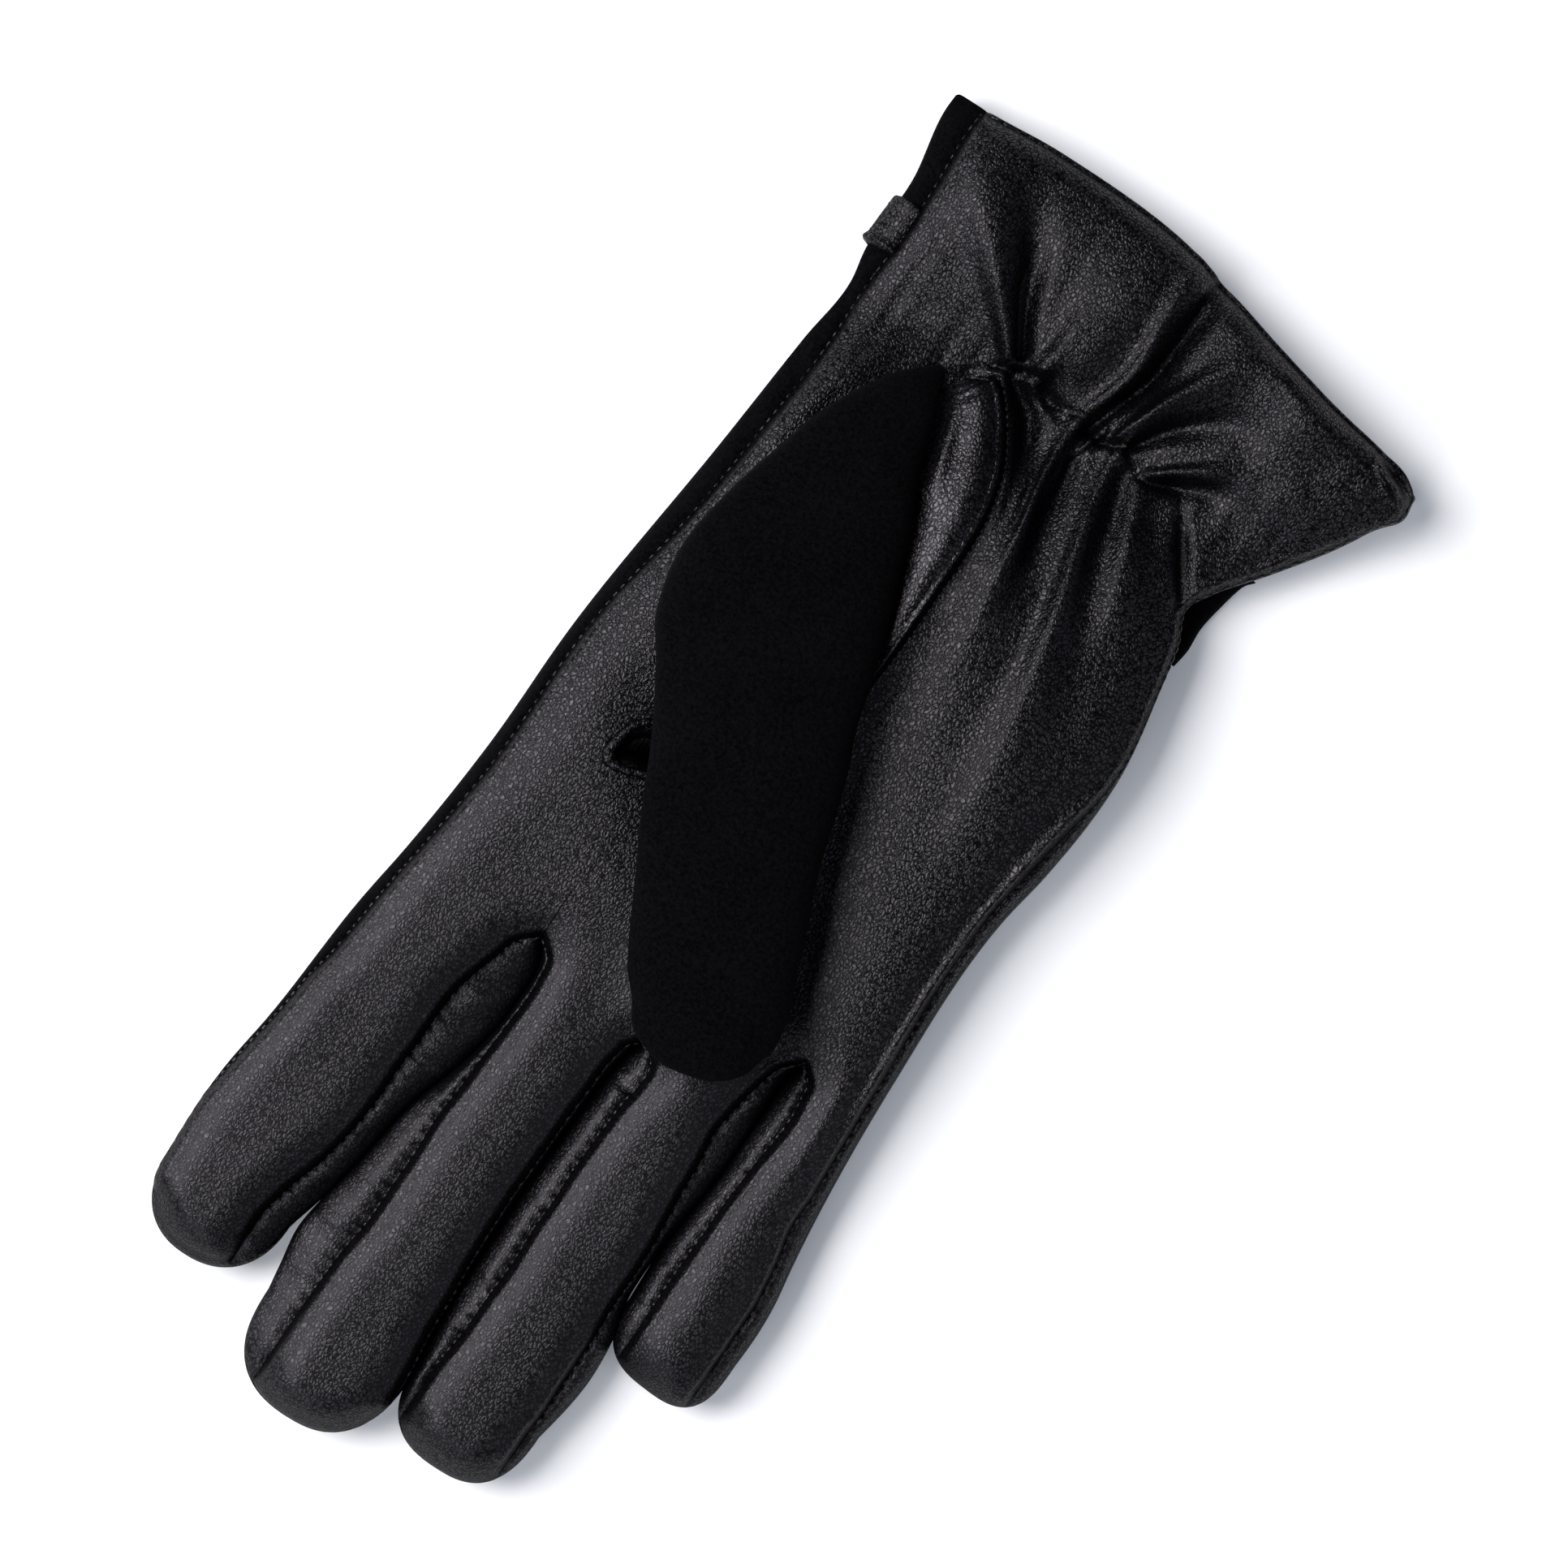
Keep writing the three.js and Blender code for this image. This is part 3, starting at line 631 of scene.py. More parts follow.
def hand_wall(column, edge_x, inward):
    """Side wall of the hand beside one column of its upper leather."""
    x, y, z = hand_top[:, column].T
    foot_z = np.full(len(x), FOOT_Z)
    return wall((x, y), (edge_x, y), (edge_x + inward * BOTTOM_INSET, y), z, EDGE_Z, foot_z, 0.25, 31)


def hand_underside():
    x, y = hand_panel(left_edge(row_left_y) + BOTTOM_INSET, right_edge(row_y) - BOTTOM_INSET, U_UNDER)
    gap = np.minimum(np.abs(x - x[:, :1]), np.abs(x - x[:, -1:]))
    return np.stack([x, y, np.exp(-gap / UNDER_ROUND)], -1)


for k, name in enumerate(ORDER):
    build_finger(name, 20 + k)
hand_top = hand_upper()
hand = piece("hand_leather")
hand.grid(hand_top, "leather", TOP)
wall_l = hand_wall(0, left_edge(row_left_y), 1)
wall_r = hand_wall(-1, right_edge(row_y), -1)
hand.grid(wall_l, "leather", SIDE)
back = piece("hand_suede")
back.grid(wall_r, "suede", SIDE, flip=True)
hand_under = hand_underside()
back.grid(hand_under, "suede", UNDER, flip=True)


# ---------- hems, linings and elastic
def loop(top, right, under, left):
    """Closed sections from the left foot over the top and back along the underside."""
    return np.concatenate([left[:, ::-1], top[:, 1:], right[:, 1:], under[:, -2:0:-1]], 1)


def inset(sections, amount):
    """Sections drawn in by amount, towards the middle of each one."""
    low, high = sections.min(1, keepdims=True), sections.max(1, keepdims=True)
    mid, half = (low + high) / 2, np.maximum((high - low) / 2, 0.01)
    keep = np.maximum(1 - amount / half, 0.05)
    keep[:, :, 1] = 1
    return mid + (sections - mid) * keep


hand_loop = loop(hand_top, wall_r, hand_under, wall_l)
LEATHER_END = wall_l.shape[1] + hand_top.shape[1] - 1  # the loop's columns up to here are leather
HEM_THICK, HEM_ROWS = 0.8, 17
LINING_INSET = 2 * HEM_THICK + 0.5
ELASTIC_INSET, ELASTIC_FROM, ELASTIC_TO = 1.3, -94.5, -84.5
FINGER_LINING_INSET = 1.6


def cuff_hem():
    """The cuff's edge, turned in round a bead and sewn down inside."""
    rings = []
    for angle in np.linspace(0, np.pi, 9):
        ring = inset(hand_loop[:1], HEM_THICK * (1 - math.cos(angle)))
        ring[:, :, 1] -= HEM_THICK * 0.9 * math.sin(angle)
        rings.append(ring)
    hem = np.concatenate(rings + [inset(hand_loop[1:HEM_ROWS], 2 * HEM_THICK)], 0)
    piece("cuff_hem_leather").grid(hem[:, :LEATHER_END], "leather", EXTRA, flip=True)
    closing = np.concatenate([hem[:, LEATHER_END - 1:], hem[:, :1]], 1)
    piece("cuff_hem_suede").grid(closing, "suede", EXTRA, flip=True)


def inside_hand(rows, amount):
    """The hand's sections drawn in, and kept under the leather in its deepest folds."""
    drawn = inset(hand_loop[rows], amount)
    tops = slice(wall_l.shape[1] - 1, LEATHER_END)
    drawn[:, tops, 2] = np.minimum(drawn[:, tops, 2], hand_loop[rows][:, tops, 2] - 0.75 * amount)
    return drawn


def finger_lining(name):
    f = FINGERS[name]
    (first_l, left), (first_r, right) = f["wall_l"], f["wall_r"]
    first = max(first_l, first_r)
    sections = loop(f["top"][first:], right[first - first_r:], f["under"][first:], left[first - first_l:])
    inner = inset(sections, FINGER_LINING_INSET)
    inner[:, :, 1] -= 2.0 * smoothstep(f["tip"][0] - 6, f["tip"][1], sections[:, :, 1])
    split_grid(name, "lining_knit", inner, f["cut"] - first, "lining", EXTRA, flip=True, closed=True)


cuff_hem()
lining = inside_hand(slice(HEM_ROWS - 4, None), LINING_INSET)
piece("hand_lining_knit").grid(lining, "lining", EXTRA, flip=True, closed=True)
elastic_rows = slice(*np.searchsorted(row_y, (ELASTIC_FROM, ELASTIC_TO)))
piece("wrist_elastic_band").grid(inside_hand(elastic_rows, ELASTIC_INSET), "elastic", EXTRA, closed=True)
for name in ORDER:
    finger_lining(name)


# ---------- stitches
def beads(target, path, pitch, length, radius):
    """Stitches: short rounded lengths of thread along a path of 3-D points."""
    s = lengths_along(path)
    middle = np.arange(pitch / 2, s[-1], pitch)
    ahead = sampled(middle + 0.2, s, path) - sampled(middle - 0.2, s, path)
    ahead /= np.maximum(np.linalg.norm(ahead, axis=1), 1e-6)[:, None]
    along = np.linspace(-1, 1, 7)
    around = np.linspace(0, 2 * np.pi, 7)[:-1]
    thick = radius * np.sqrt(1 - np.abs(along) ** 2.5)
    for p, d in zip(sampled(middle, s, path), ahead):
        side = np.cross(d, (0, 0, 1.0))
        side /= max(np.linalg.norm(side), 1e-6)
        up = np.cross(side, d)
        ring = np.cos(around)[:, None] * side + np.sin(around)[:, None] * up
        grid = p + along[:, None, None] * d * length / 2 + thick[:, None, None] * ring[None]
        target.grid(grid, "thread", EXTRA, closed=True)


FINGER_STITCH = (1.7, 1.05, 0.22)  # pitch, length and radius
HAND_STITCH = (2.1, 1.2, 0.17)
STRAP_STITCH = (1.5, 0.95, 0.14)
GUSSET_STITCH = (1.45, 0.85, 0.27)
STITCH_LIFT = np.array([0, 0, 0.08])


def finger_stitches(name):
    """Stitches of both seams, up to where a seam has run out to the finger's outline."""
    f = FINGERS[name]
    cut = f["cut"]
    for side, column in SIDES:
        path = f["top"][:, column] + STITCH_LIFT
        last = 84 if (name, side) == ("index", "r") else f["tip"][0] - 1
        end = int(np.searchsorted(path[cut:, 1], last)) + cut
        beads(piece(name + "_base_leather"), path[f["wall_" + side][0]:cut], *FINGER_STITCH)
        beads(piece(name + "_tip_leather"), path[cut:end], *FINGER_STITCH)


for name in ORDER:
    finger_stitches(name)
for _, column in SIDES:
    beads(hand, hand_top[:, column] + STITCH_LIFT, *HAND_STITCH)

# ---------- strap, notch and quirk
STRAP_LOW, STRAP_HIGH, STRAP_LIFT, STRAP_FLOOR = -106.2, -96.5, 1.0, 0.15
# Edge of the back's suede where it shows in the notch of the wrist on the little side.
NOTCH = [(-43, -85.6), (-41.5, -83.6), (-40.4, -79), (-39.6, -74), (-39.8, -69.6), (-39.3, -66)]
# Slit of the quirk beside the thumb, and the line beside it whose height its lips take.
QUIRK = [
    (28.2, -9.0), (30.6, -7.4), (31.9, -4.4), (32.3, -0.9), (31.2, 0.7), (28.2, 0.5), (25.4, -0.6),
    (23.6, -1.2)
]
BESIDE_QUIRK = [
    (28.6, -11), (32.6, -9), (34.4, -5), (34.8, -1), (33, 3), (28.8, 3), (25.6, 1.8), (23.6, 1.2)
]
QUIRK_ROWS = 60


def eased(rows, reach):
    """Each row averaged with its neighbours."""
    padded = np.concatenate([rows[:1].repeat(reach, 0), rows, rows[-1:].repeat(reach, 0)])
    return sum(padded[k:k + len(rows)] for k in range(2 * reach + 1)) / (2 * reach + 1)


def cuff_strap():
    """Strap round the index edge of the cuff, with a raised lip and two rows of stitches."""
    rows = np.linspace(STRAP_LOW, STRAP_HIGH, 30)
    profile = eased(np.stack([sampled(rows, row_y, wall_r[:, c]) for c in range(wall_r.shape[1])], 1), 7)
    profile[:, :, 1] = rows[:, None]
    outward = np.gradient(profile, axis=1)[:, :, [2, 1, 0]] * np.array([-1, 0, 1])
    outward[:, :, 1] = 0
    outward /= np.maximum(np.linalg.norm(outward, axis=2, keepdims=True), 1e-6)
    edge_round = roll(np.minimum(rows - STRAP_LOW, STRAP_HIGH - rows) / 0.8, 2)[:, None, None]
    lip = 0.5 * bell(rows - STRAP_HIGH + 0.8, 0.8)[:, None, None]
    grid = profile + outward * (STRAP_LIFT * edge_round + 0.12 + lip)
    grid[:, :, 2] = np.maximum(grid[:, :, 2], STRAP_FLOOR)
    strap = piece("cuff_strap_band")
    strap.grid(grid, "leather", EXTRA, flip=True)
    for share in (0.22, 0.78):
        row = int(share * (len(rows) - 1))
        beads(strap, grid[row, 1:-3], *STRAP_STITCH)


def notch_suede():
    outer = spline(NOTCH, 40)
    inner = np.stack([left_edge(outer[:, 1]) + 3, outer[:, 1]], 1)
    q = np.linspace(0, 1, 13)[None]
    x, y = (between(outer[:, k], inner[:, k], q) for k in range(2))
    back.grid(np.stack([x, y, 0.9 + 3.4 * roll(q, 2) + 0 * x], -1), "suede", EXTRA)
    back.grid(np.stack([x, y, 0.9 - 0.9 * roll(q, 2) + 0 * x], -1), "suede", EXTRA, flip=True)


def quirk_lips():
    """Rolled lips of the slit beside the thumb."""
    line = spline(QUIRK, QUIRK_ROWS)
    height = leather_height(spline(BESIDE_QUIRK, QUIRK_ROWS))
    around = np.linspace(0, 2 * np.pi, 13)[:-1]
    ahead = np.gradient(line, axis=0)
    ahead /= np.linalg.norm(ahead, axis=1)[:, None]
    across = np.stack([ahead[:, 1], -ahead[:, 0]], 1)
    s = np.arange(QUIRK_ROWS) / (QUIRK_ROWS - 1)
    fat = (0.75 + 0.5 * bell(s - 0.5, 0.14)) * (1 + 0.07 * np.cos(2 * np.pi * s * 11))
    xy = line[:, None] + across[:, None] * (fat[:, None] * np.cos(around)[None])[:, :, None]
    z = height[:, None] + 0.1 + fat[:, None] * np.sin(around)[None]
    hand.grid(np.dstack([xy, z]), "leather", EXTRA, closed=True, flip=True)


cuff_strap()
notch_suede()
quirk_lips()

# ---------- thumb
THUMB_LEFT = [
    (20.8, -84.5), (18.1, -78), (14.6, -67.8), (11.9, -62), (6.8, -47.7), (1.8, -33.4), (-1.4, -23.9),
    (-3.6, -17.4), (-8, -3.6), (-11.6, 4.7), (-14.1, 10.9), (-17.2, 18.5), (-18, 25), (-17.6, 29.7),
    (-15.5, 33.3), (-12, 35.9), (-7.7, 37.3)
]
THUMB_RIGHT = [
    (22.3, -86), (28.5, -79.4), (34.3, -68.5), (36.8, -60.1), (40.1, -46.3), (41.1, -35), (38.7, -24.6),
    (34.2, -17.6), (26.6, -4.2), (20.5, 7.8), (15.3, 17.4), (11.2, 24.6), (8.3, 29.2), (5, 33.3),
    (2.2, 36.1), (-1, 37.4), (-4.6, 37.9)
]
THUMB_CROWN = [
    12.2, 17.5, 21.5, 23, 25.6, 27.2, 28, 28.4, 28.6, 28.6, 28.5, 28.2, 27.8, 27.2, 26.4, 25.4, 24.4
]
THUMB_EDGE = [
    11.8, 14.5, 17, 18, 19.6, 20.4, 21, 21.4, 22, 22.2, 22.3, 22.4, 22.4, 22.4, 22.4, 22.4, 22.4
]
THUMB_FLOOR = 18.0  # underside of the free thumb, over the palm
THUMB_ROWS = 180
THUMB_SPANS = len(THUMB_CROWN) - 1
THUMB_FREE = int(THUMB_ROWS * 5.2 / THUMB_SPANS)  # row from which the thumb is a tube of its own
THUMB_CLOSE = 12.5  # point of the tables from which the tip closes
GUSSET_END = int(THUMB_ROWS * 5.0 / THUMB_SPANS)
THUMB_LINING_START, THUMB_LINING_STOP = 14, -6
THUMB_LINING_INSET = 1.5


def thumb_side(table, pitch, seed):
    """One side of the thumb, slightly uneven."""
    line = spline(table, THUMB_ROWS)
    line[:, 0] += 0.22 * wander(np.linspace(0, 100, THUMB_ROWS), pitch, seed)
    return line


thumb_left, thumb_right = thumb_side(THUMB_LEFT, 5, 51), thumb_side(THUMB_RIGHT, 6, 52)
thumb_crown, thumb_edge = (spline([[v] for v in t], THUMB_ROWS)[:, 0] for t in (THUMB_CROWN, THUMB_EDGE))


def thumb_section(angle, rise):
    """Half sections of the thumb, from its left side to its right, each as high as its rise."""
    mid, half = (thumb_left + thumb_right) / 2, (thumb_right - thumb_left) / 2
    across = np.sign(np.cos(angle)) * np.abs(np.cos(angle)) ** 0.8
    xy = mid[:, None] - half[:, None] * across[None, :, None]
    z = thumb_edge[:, None] + rise[:, None] * np.sin(angle)[None] ** 0.75
    return np.dstack([xy, z])


def build_thumb():
    """Suede over the thumb, leather under its free part, and the lining inside."""
    station = np.linspace(0, THUMB_SPANS, THUMB_ROWS)
    past = np.clip((station - THUMB_CLOSE) / (THUMB_SPANS - THUMB_CLOSE), 0, 1)
    tip_close = np.maximum(np.sqrt(1 - past ** 2.5), 0.02)
    over = thumb_section(np.linspace(0, np.pi, 41), (thumb_crown - thumb_edge) * tip_close)
    below = thumb_section(np.linspace(0, np.pi, 17), -(thumb_edge - THUMB_FLOOR - 0.2) * tip_close)
    below[:, :, 2] = np.maximum(below[:, :, 2], THUMB_FLOOR)
    inner = inset(np.concatenate([over, below[:, -2:0:-1]], 1)[:THUMB_LINING_STOP], THUMB_LINING_INSET)
    heel, tube = slice(None, THUMB_FREE + 1), slice(THUMB_FREE, None)
    inner_heel = slice(THUMB_LINING_START, THUMB_FREE + 1)
    piece("thumb_heel_suede").grid(over[heel], "suede", TOP + THUMB_GROUP)
    piece("thumb_tube_suede").grid(over[tube], "suede", TOP + THUMB_GROUP)
    piece("thumb_tube_leather").grid(below[tube], "leather", UNDER + THUMB_GROUP, flip=True)
    for name, part in (("heel", inner_heel), ("tube", tube)):
        lining = piece(f"thumb_{name}_lining")
        lining.grid(inner[part], "lining", EXTRA + THUMB_GROUP, flip=True, closed=True)


# The gusset's dotted seam on the palm, from the heel up.
GUSSET_SEAM = [
    (15.5, -88.2), (12.6, -89.2), (9.6, -86.5), (6.6, -82.4), (3.6, -77.2), (1.9, -71.8), (1.0, -66.6),
    (0.7, -60.5), (0.8, -54.1), (0.9, -47.7), (1.1, -40.6), (1.7, -33.4)
]
GUSSET_ROWS = 160


def build_gusset():
    """Leather gusset between the thumb's suede and its seam on the palm."""
    outer = spline(GUSSET_SEAM, GUSSET_ROWS)
    pick, rows = np.linspace(3, GUSSET_END - 1, GUSSET_ROWS), np.arange(THUMB_ROWS)
    inner = sampled(pick, rows, thumb_left)
    inner = inner + (inner - outer) / np.linalg.norm(outer - inner, axis=1)[:, None] * 1.5
    inner_z = np.interp(pick, rows, thumb_edge) - 2.4
    outer_z = leather_height(outer) - 0.2
    arc = lengths_along(outer)[:, None]
    q = np.linspace(0, 1, 37)[None]  # 0 at the seam, 1 under the suede
    span = np.linalg.norm(outer - inner, axis=1)[:, None]
    x, y = (between(outer[:, k], inner[:, k], q) for k in range(2))
    swell = 3.4 * np.minimum(span / 12, 1)
    z = outer_z[:, None] + (inner_z - outer_z)[:, None] * q ** 0.8
    z = z + swell * np.sin(np.pi * q ** 0.62) ** 1.1
    off_seam = q * span
    z += 0.75 * bell(off_seam - 1.1, 0.6)
    z += 0.13 * np.exp(-off_seam / 1.2) * np.cos(2 * np.pi * arc / 1.5)
    z += 0.9 * bell((1 - q) * span - 4.6, 1.5) * bell(arc - 14, 9)
    gusset = piece("thumb_gusset_leather")
    gusset.grid(np.stack([x, y, z], -1), "leather_taut", TOP + GUSSET_GROUP)
    beads(gusset, np.column_stack([outer, outer_z + 0.25])[10:], *GUSSET_STITCH)


build_thumb()
build_gusset()


# ---------- materials
class Surface:
    """The node tree of a material or a world, with short ways to add and join nodes."""

    def __init__(self, owner, shader="Principled BSDF"):
        owner.use_nodes = True
        self.owner, self.tree = owner, owner.node_tree
        self.shader = self.tree.nodes[shader]
        self.places = self.node("ShaderNodeTexCoord").outputs
        self.place = self.places["Object"]

    def feed(self, socket, value):
        """Join a socket to another node's output, or give it a value."""
        if isinstance(value, bpy.types.NodeSocket):
            self.tree.links.new(value, socket)
        else:
            socket.default_value = value

    def give(self, node, **inputs):
        for key, value in inputs.items():
            self.feed(node.inputs[key.replace("_", " ")], value)

    def node(self, kind, **inputs):
        n = self.tree.nodes.new(kind)
        self.give(n, **inputs)
        return n

    def noise(self, scale, **inputs):
        return self.node("ShaderNodeTexNoise", Vector=self.place, Scale=scale, **inputs)

    def wave(self, direction, scale, **inputs):
        n = self.node("ShaderNodeTexWave", Vector=self.place, Scale=scale, **inputs)
        n.bands_direction = direction
        return n.outputs["Fac"]

    def math(self, operation, *values, kind="ShaderNodeMath"):
        n = self.node(kind)
        n.operation = operation
        for socket, value in zip(n.inputs, values):
            self.feed(socket, value)
        return n.outputs[0]

    def ranged(self, value, start, end, low=0.0, high=1.0, kind="SMOOTHSTEP"):
        """The value mapped from start..end to low..high."""
        n = self.node("ShaderNodeMapRange", Value=value, From_Min=start, From_Max=end)
        self.give(n, To_Min=low, To_Max=high)
        n.interpolation_type = kind
        return n.outputs["Result"]

    def ramp(self, value, *stops):
        """Colours between two stops, each a position and a colour."""
        n = self.node("ShaderNodeValToRGB", Fac=value)
        for element, (position, colour) in zip(n.color_ramp.elements, stops):
            element.position = position
            element.color = (*colour, 1)
        return n.outputs["Color"]

    def bumped(self, height, strength, distance):
        n = self.node("ShaderNodeBump", Height=height, Strength=strength, Distance=distance)
        self.give(self.shader, Normal=n.outputs["Normal"])

    def tinted(self, share, low, high):
        """Base colour between two colours."""
        n = self.node("ShaderNodeMixRGB", Fac=share, Color1=(*low, 1), Color2=(*high, 1))
        self.give(self.shader, Base_Color=n.outputs["Color"])


def leather_cells(s):
    """Distance to the edge of small irregular cells, a little longer along one way."""
    warp = s.noise(620.0, Detail=4.0, Roughness=0.65).outputs["Color"]
    moved = s.math("MULTIPLY_ADD", warp, (0.0016, 0.0016, 0.0016), s.place, kind="ShaderNodeVectorMath")
    stretched = s.math("MULTIPLY", moved, (1.15, 0.75, 1.0), kind="ShaderNodeVectorMath")
    cells = s.node("ShaderNodeTexVoronoi", Scale=1400.0)
    cells.feature = "DISTANCE_TO_EDGE"
    s.give(cells, Vector=stretched)
    return cells.outputs["Distance"]


def leather_material(name, grain=1.0, shine=1.0):
    """Leather of fine grain: smoother and of a softer sheen over the fingers than in palm and cuff."""
    s = Surface(bpy.data.materials.new(name))
    along = s.node("ShaderNodeSeparateXYZ", Vector=s.place).outputs["Y"]

    def changing(in_palm, on_fingers):
        return s.ranged(along, -0.01, 0.045, in_palm, on_fingers)

    cells = leather_cells(s)
    raised = s.ranged(cells, 0.0, 0.40)
    # Sheen dulled in the cracks between the cells, more in palm and cuff than on the fingers: painted
    # shade in the creases of the grain.
    crack_shade = s.ranged(cells, 0.0, 0.2, changing(0.08, 0.32))
    fine = s.noise(1500.0, Detail=2.0).outputs["Fac"]
    s.bumped(s.math("MULTIPLY_ADD", fine, 0.45, raised), changing(0.75 * grain, 0.6 * grain), 0.00009)
    broad = s.noise(60.0, Detail=4.0).outputs["Fac"]
    least, most = changing(0.29 / shine, 0.37 / shine), changing(0.34 / shine, 0.42 / shine)
    # Base colour darker in the cracks than on the cell tops: the grain's own tone, with painted shade in
    # the cracks.
    s.tinted(raised, (0.0012, 0.0011, 0.0014), (0.0030, 0.0027, 0.0038))
    # Sheen full where a surface faces the camera and almost gone at the outline: the leather's gloss, with
    # painted shade along every edge and rim.
    facing = s.node("ShaderNodeLayerWeight", Blend=0.5).outputs["Facing"]
    gloss_and_edge_shade = s.ranged(facing, 0.12, 0.74, 0.46 * shine, 0.03)
    s.give(s.shader, Roughness=s.ranged(broad, 0.3, 0.7, least, most, "LINEAR"),
           Specular_IOR_Level=s.math("MULTIPLY", gloss_and_edge_shade, crack_shade), Specular_Tint=(0.93, 0.90, 1.0, 1))
    return s.owner


def suede_material(name):
    s = Surface(bpy.data.materials.new(name))
    cloud = s.noise(70.0, Detail=4.0).outputs["Fac"]
    fibre = s.noise(1500.0, Detail=5.0, Roughness=0.8).outputs["Fac"]
    tint = s.ramp(s.math("MULTIPLY_ADD", cloud, 0.15, fibre),
                  (0.44, (0.0002, 0.0002, 0.0002)), (0.72, (0.0036, 0.0034, 0.0044)))
    s.bumped(s.noise(2600.0, Detail=4.0).outputs["Fac"], 0.5, 0.00018)
    s.give(s.shader, Base_Color=tint, Roughness=0.95, Specular_IOR_Level=0.03,
           Sheen_Weight=0.007, Sheen_Roughness=0.5, Sheen_Tint=(0.75, 0.7, 0.85, 1))
    return s.owner


def ribbed_material(name, base, wale, course):
    """Fine knit or ribbed elastic: two crossed sets of waves."""
    s = Surface(bpy.data.materials.new(name))
    waves = [s.wave(way, scale, Distortion=1.2, Detail=1.0) for way, scale in (("X", wale), ("Y", course))]
    both = s.math("MULTIPLY", *waves)
    s.bumped(both, 0.7, 0.0003)
    s.tinted(both, [0.4 * c for c in base], base)
    s.give(s.shader, Roughness=0.9, Specular_IOR_Level=0.2)
    return s.owner


def thread_material(name):
    s = Surface(bpy.data.materials.new(name))
    s.bumped(s.wave("DIAGONAL", 900.0, Distortion=0.6), 0.5, 0.0001)
    s.give(s.shader, Base_Color=(0.012, 0.012, 0.015, 1), Roughness=0.38)
    return s.owner


MATERIALS = {
    "leather": leather_material("leather"),
    "leather_taut": leather_material("leather_taut", 0.6, 1.12),
    "suede": suede_material("suede"),
    "lining": ribbed_material("lining_knit", (0.02, 0.02, 0.022), 420, 500),
    "elastic": ribbed_material("elastic", (0.03, 0.03, 0.03), 300, 900),
    "thread": thread_material("thread"),
}

# ---------- objects, and the fixed pieces attached to the hand's body
normals = vertex_normals()
objects = {name: make_mesh(p, normals[name], MATERIALS) for name, p in pieces.items()}


def bend(obj):
    """Bake a piece's transform into its mesh; it is not blended between bodies."""
    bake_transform(obj)


def finger_part(name, part):
    """Leather, suede and lining of one body of a finger."""
    body = f"{name}_{part}"
    walls = [body + "_wall_little_side"]
    if name != "index":
        walls.append(body + "_wall_index_side")
    replaced = {"leather": (body + "_palm", *walls), "suede": (body + "_back",),
                "lining_knit": (body + "_lining",)}
    for kind, nodes in replaced.items():
        obj = objects[f"{body}_{kind}"]
        bend(obj)
        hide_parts(*nodes)


for name in ORDER:
    finger_part(name, "base")
    finger_part(name, "tip")
for key, slot, node in (("suede", "suede", "thumb_back"), ("leather", "leather", "thumb_palm"),
                        ("lining", "lining_knit", "thumb_lining")):
    obj = objects["thumb_tube_" + key]
    bend(obj)
    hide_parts(node)
FIXED = [
    ("hand_leather", "leather", ("palm_panel", "side_strip", "web_index_middle", "web_middle_ring",
                                 "web_ring_little")),
    ("hand_suede", "suede", ("back_panel",)),
    ("cuff_hem_leather", "leather", ("cuff_hem_palm",)),
    ("cuff_hem_suede", "suede", ("cuff_hem_back",)),
    ("cuff_strap_band", "leather", ("cuff_strap",)),
    ("hand_lining_knit", "lining_knit", ("hand_lining",)),
    ("wrist_elastic_band", "elastic", ("wrist_elastic",)),
    ("thumb_heel_suede", "suede", ("thumb_base",)),
    ("thumb_heel_lining", "lining_knit", ("thumb_base_lining",)),
    ("thumb_gusset_leather", "leather", ("thumb_gusset",)),
]
for key, slot, nodes in FIXED:
    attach(objects[key], "hand")
    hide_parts(*nodes)

# ---------- floor, light and camera
RIGHT, UP = Vector((-0.831, -0.556, 0)).normalized(), Vector((0.556, -0.831, 0)).normalized()
FLOOR_SIZE, FLOOR_Z = 4, -0.0002
PICTURE_WIDTH = 0.2657  # at the glove, in metres
PICTURE_CENTRE = (0.0049, -0.0123, 0.008)
LENS, SENSOR = 120, 36


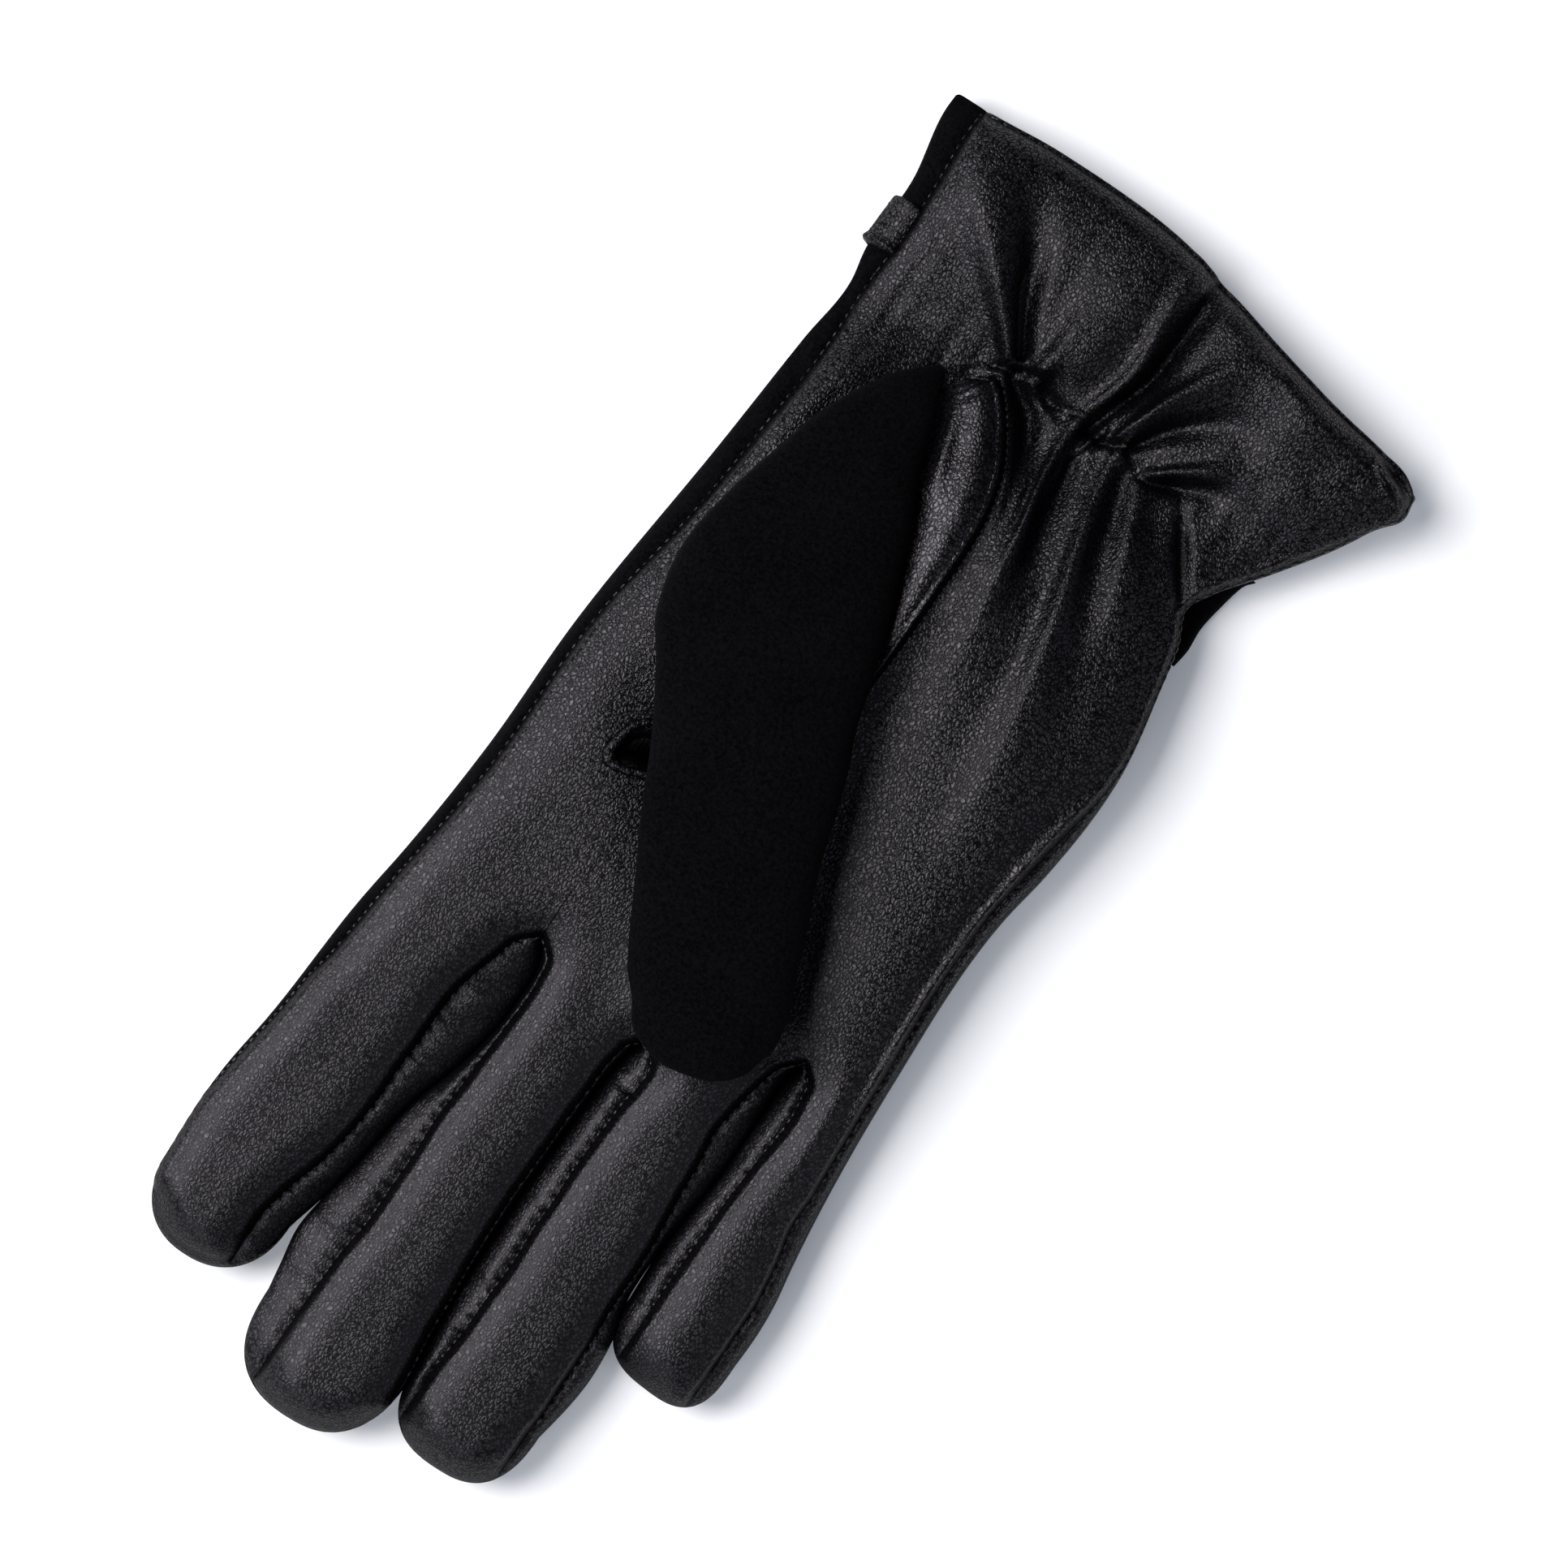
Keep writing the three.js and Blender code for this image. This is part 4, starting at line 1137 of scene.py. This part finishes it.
def build_floor():
    bpy.ops.mesh.primitive_plane_add(size=FLOOR_SIZE, location=(0, 0, FLOOR_Z))
    floor = bpy.context.object
    floor.name = "floor"
    s = Surface(bpy.data.materials.new("floor_white"))
    s.give(s.shader, Base_Color=(0.93, 0.935, 0.95, 1), Roughness=0.9, Emission_Color=(0.84, 0.90, 1.0, 1),
           Emission_Strength=0.17)
    floor.data.materials.append(s.owner)


def area_light(name, across, up, height, size, power, colour):
    """A soft box placed in the camera's own left-right and up-down, aimed at the glove."""
    data = bpy.data.lights.new(name, "AREA")
    data.energy, data.size, data.color = power, size, colour
    data.shape = "SQUARE"
    obj = bpy.data.objects.new(name, data)
    spot = RIGHT * across + UP * up + Vector((0, 0, height))
    obj.location = spot
    obj.rotation_euler = (-spot).to_track_quat("-Z", "Y").to_euler()
    bpy.context.scene.collection.objects.link(obj)


def build_world():
    """A dim studio, darker overhead than at the level of the table."""
    s = Surface(bpy.data.worlds.new("studio"), "Background")
    height = s.node("ShaderNodeSeparateXYZ", Vector=s.places["Generated"]).outputs["Z"]
    sky = s.ramp(height, (0.12, (0.20, 0.24, 0.34)), (0.60, (0.06, 0.065, 0.09)))
    s.give(s.shader, Color=sky, Strength=0.7)
    bpy.context.scene.world = s.owner


def build_camera():
    data = bpy.data.cameras.new("camera")
    data.lens, data.sensor_width, data.clip_end = LENS, SENSOR, 10
    camera = bpy.data.objects.new("camera", data)
    turn = Matrix((RIGHT, UP, Vector((0, 0, 1)))).transposed().to_4x4()
    up = Vector((0, 0, PICTURE_WIDTH * LENS / SENSOR))
    camera.matrix_world = Matrix.Translation(Vector(PICTURE_CENTRE) + up) @ turn
    bpy.context.scene.collection.objects.link(camera)
    bpy.context.scene.camera = camera


build_floor()
area_light("key_light", -0.74, 0.30, 1.0, 0.85, 23, (1.0, 0.98, 0.97))
area_light("far_light", 0.75, -0.55, 0.95, 0.6, 1.7, (0.95, 0.97, 1.0))
area_light("low_light", -0.8, -0.95, 0.9, 0.6, 5.0, (0.95, 0.97, 1.0))
build_world()
build_camera()
bpy.context.scene.view_settings.view_transform = "Standard"
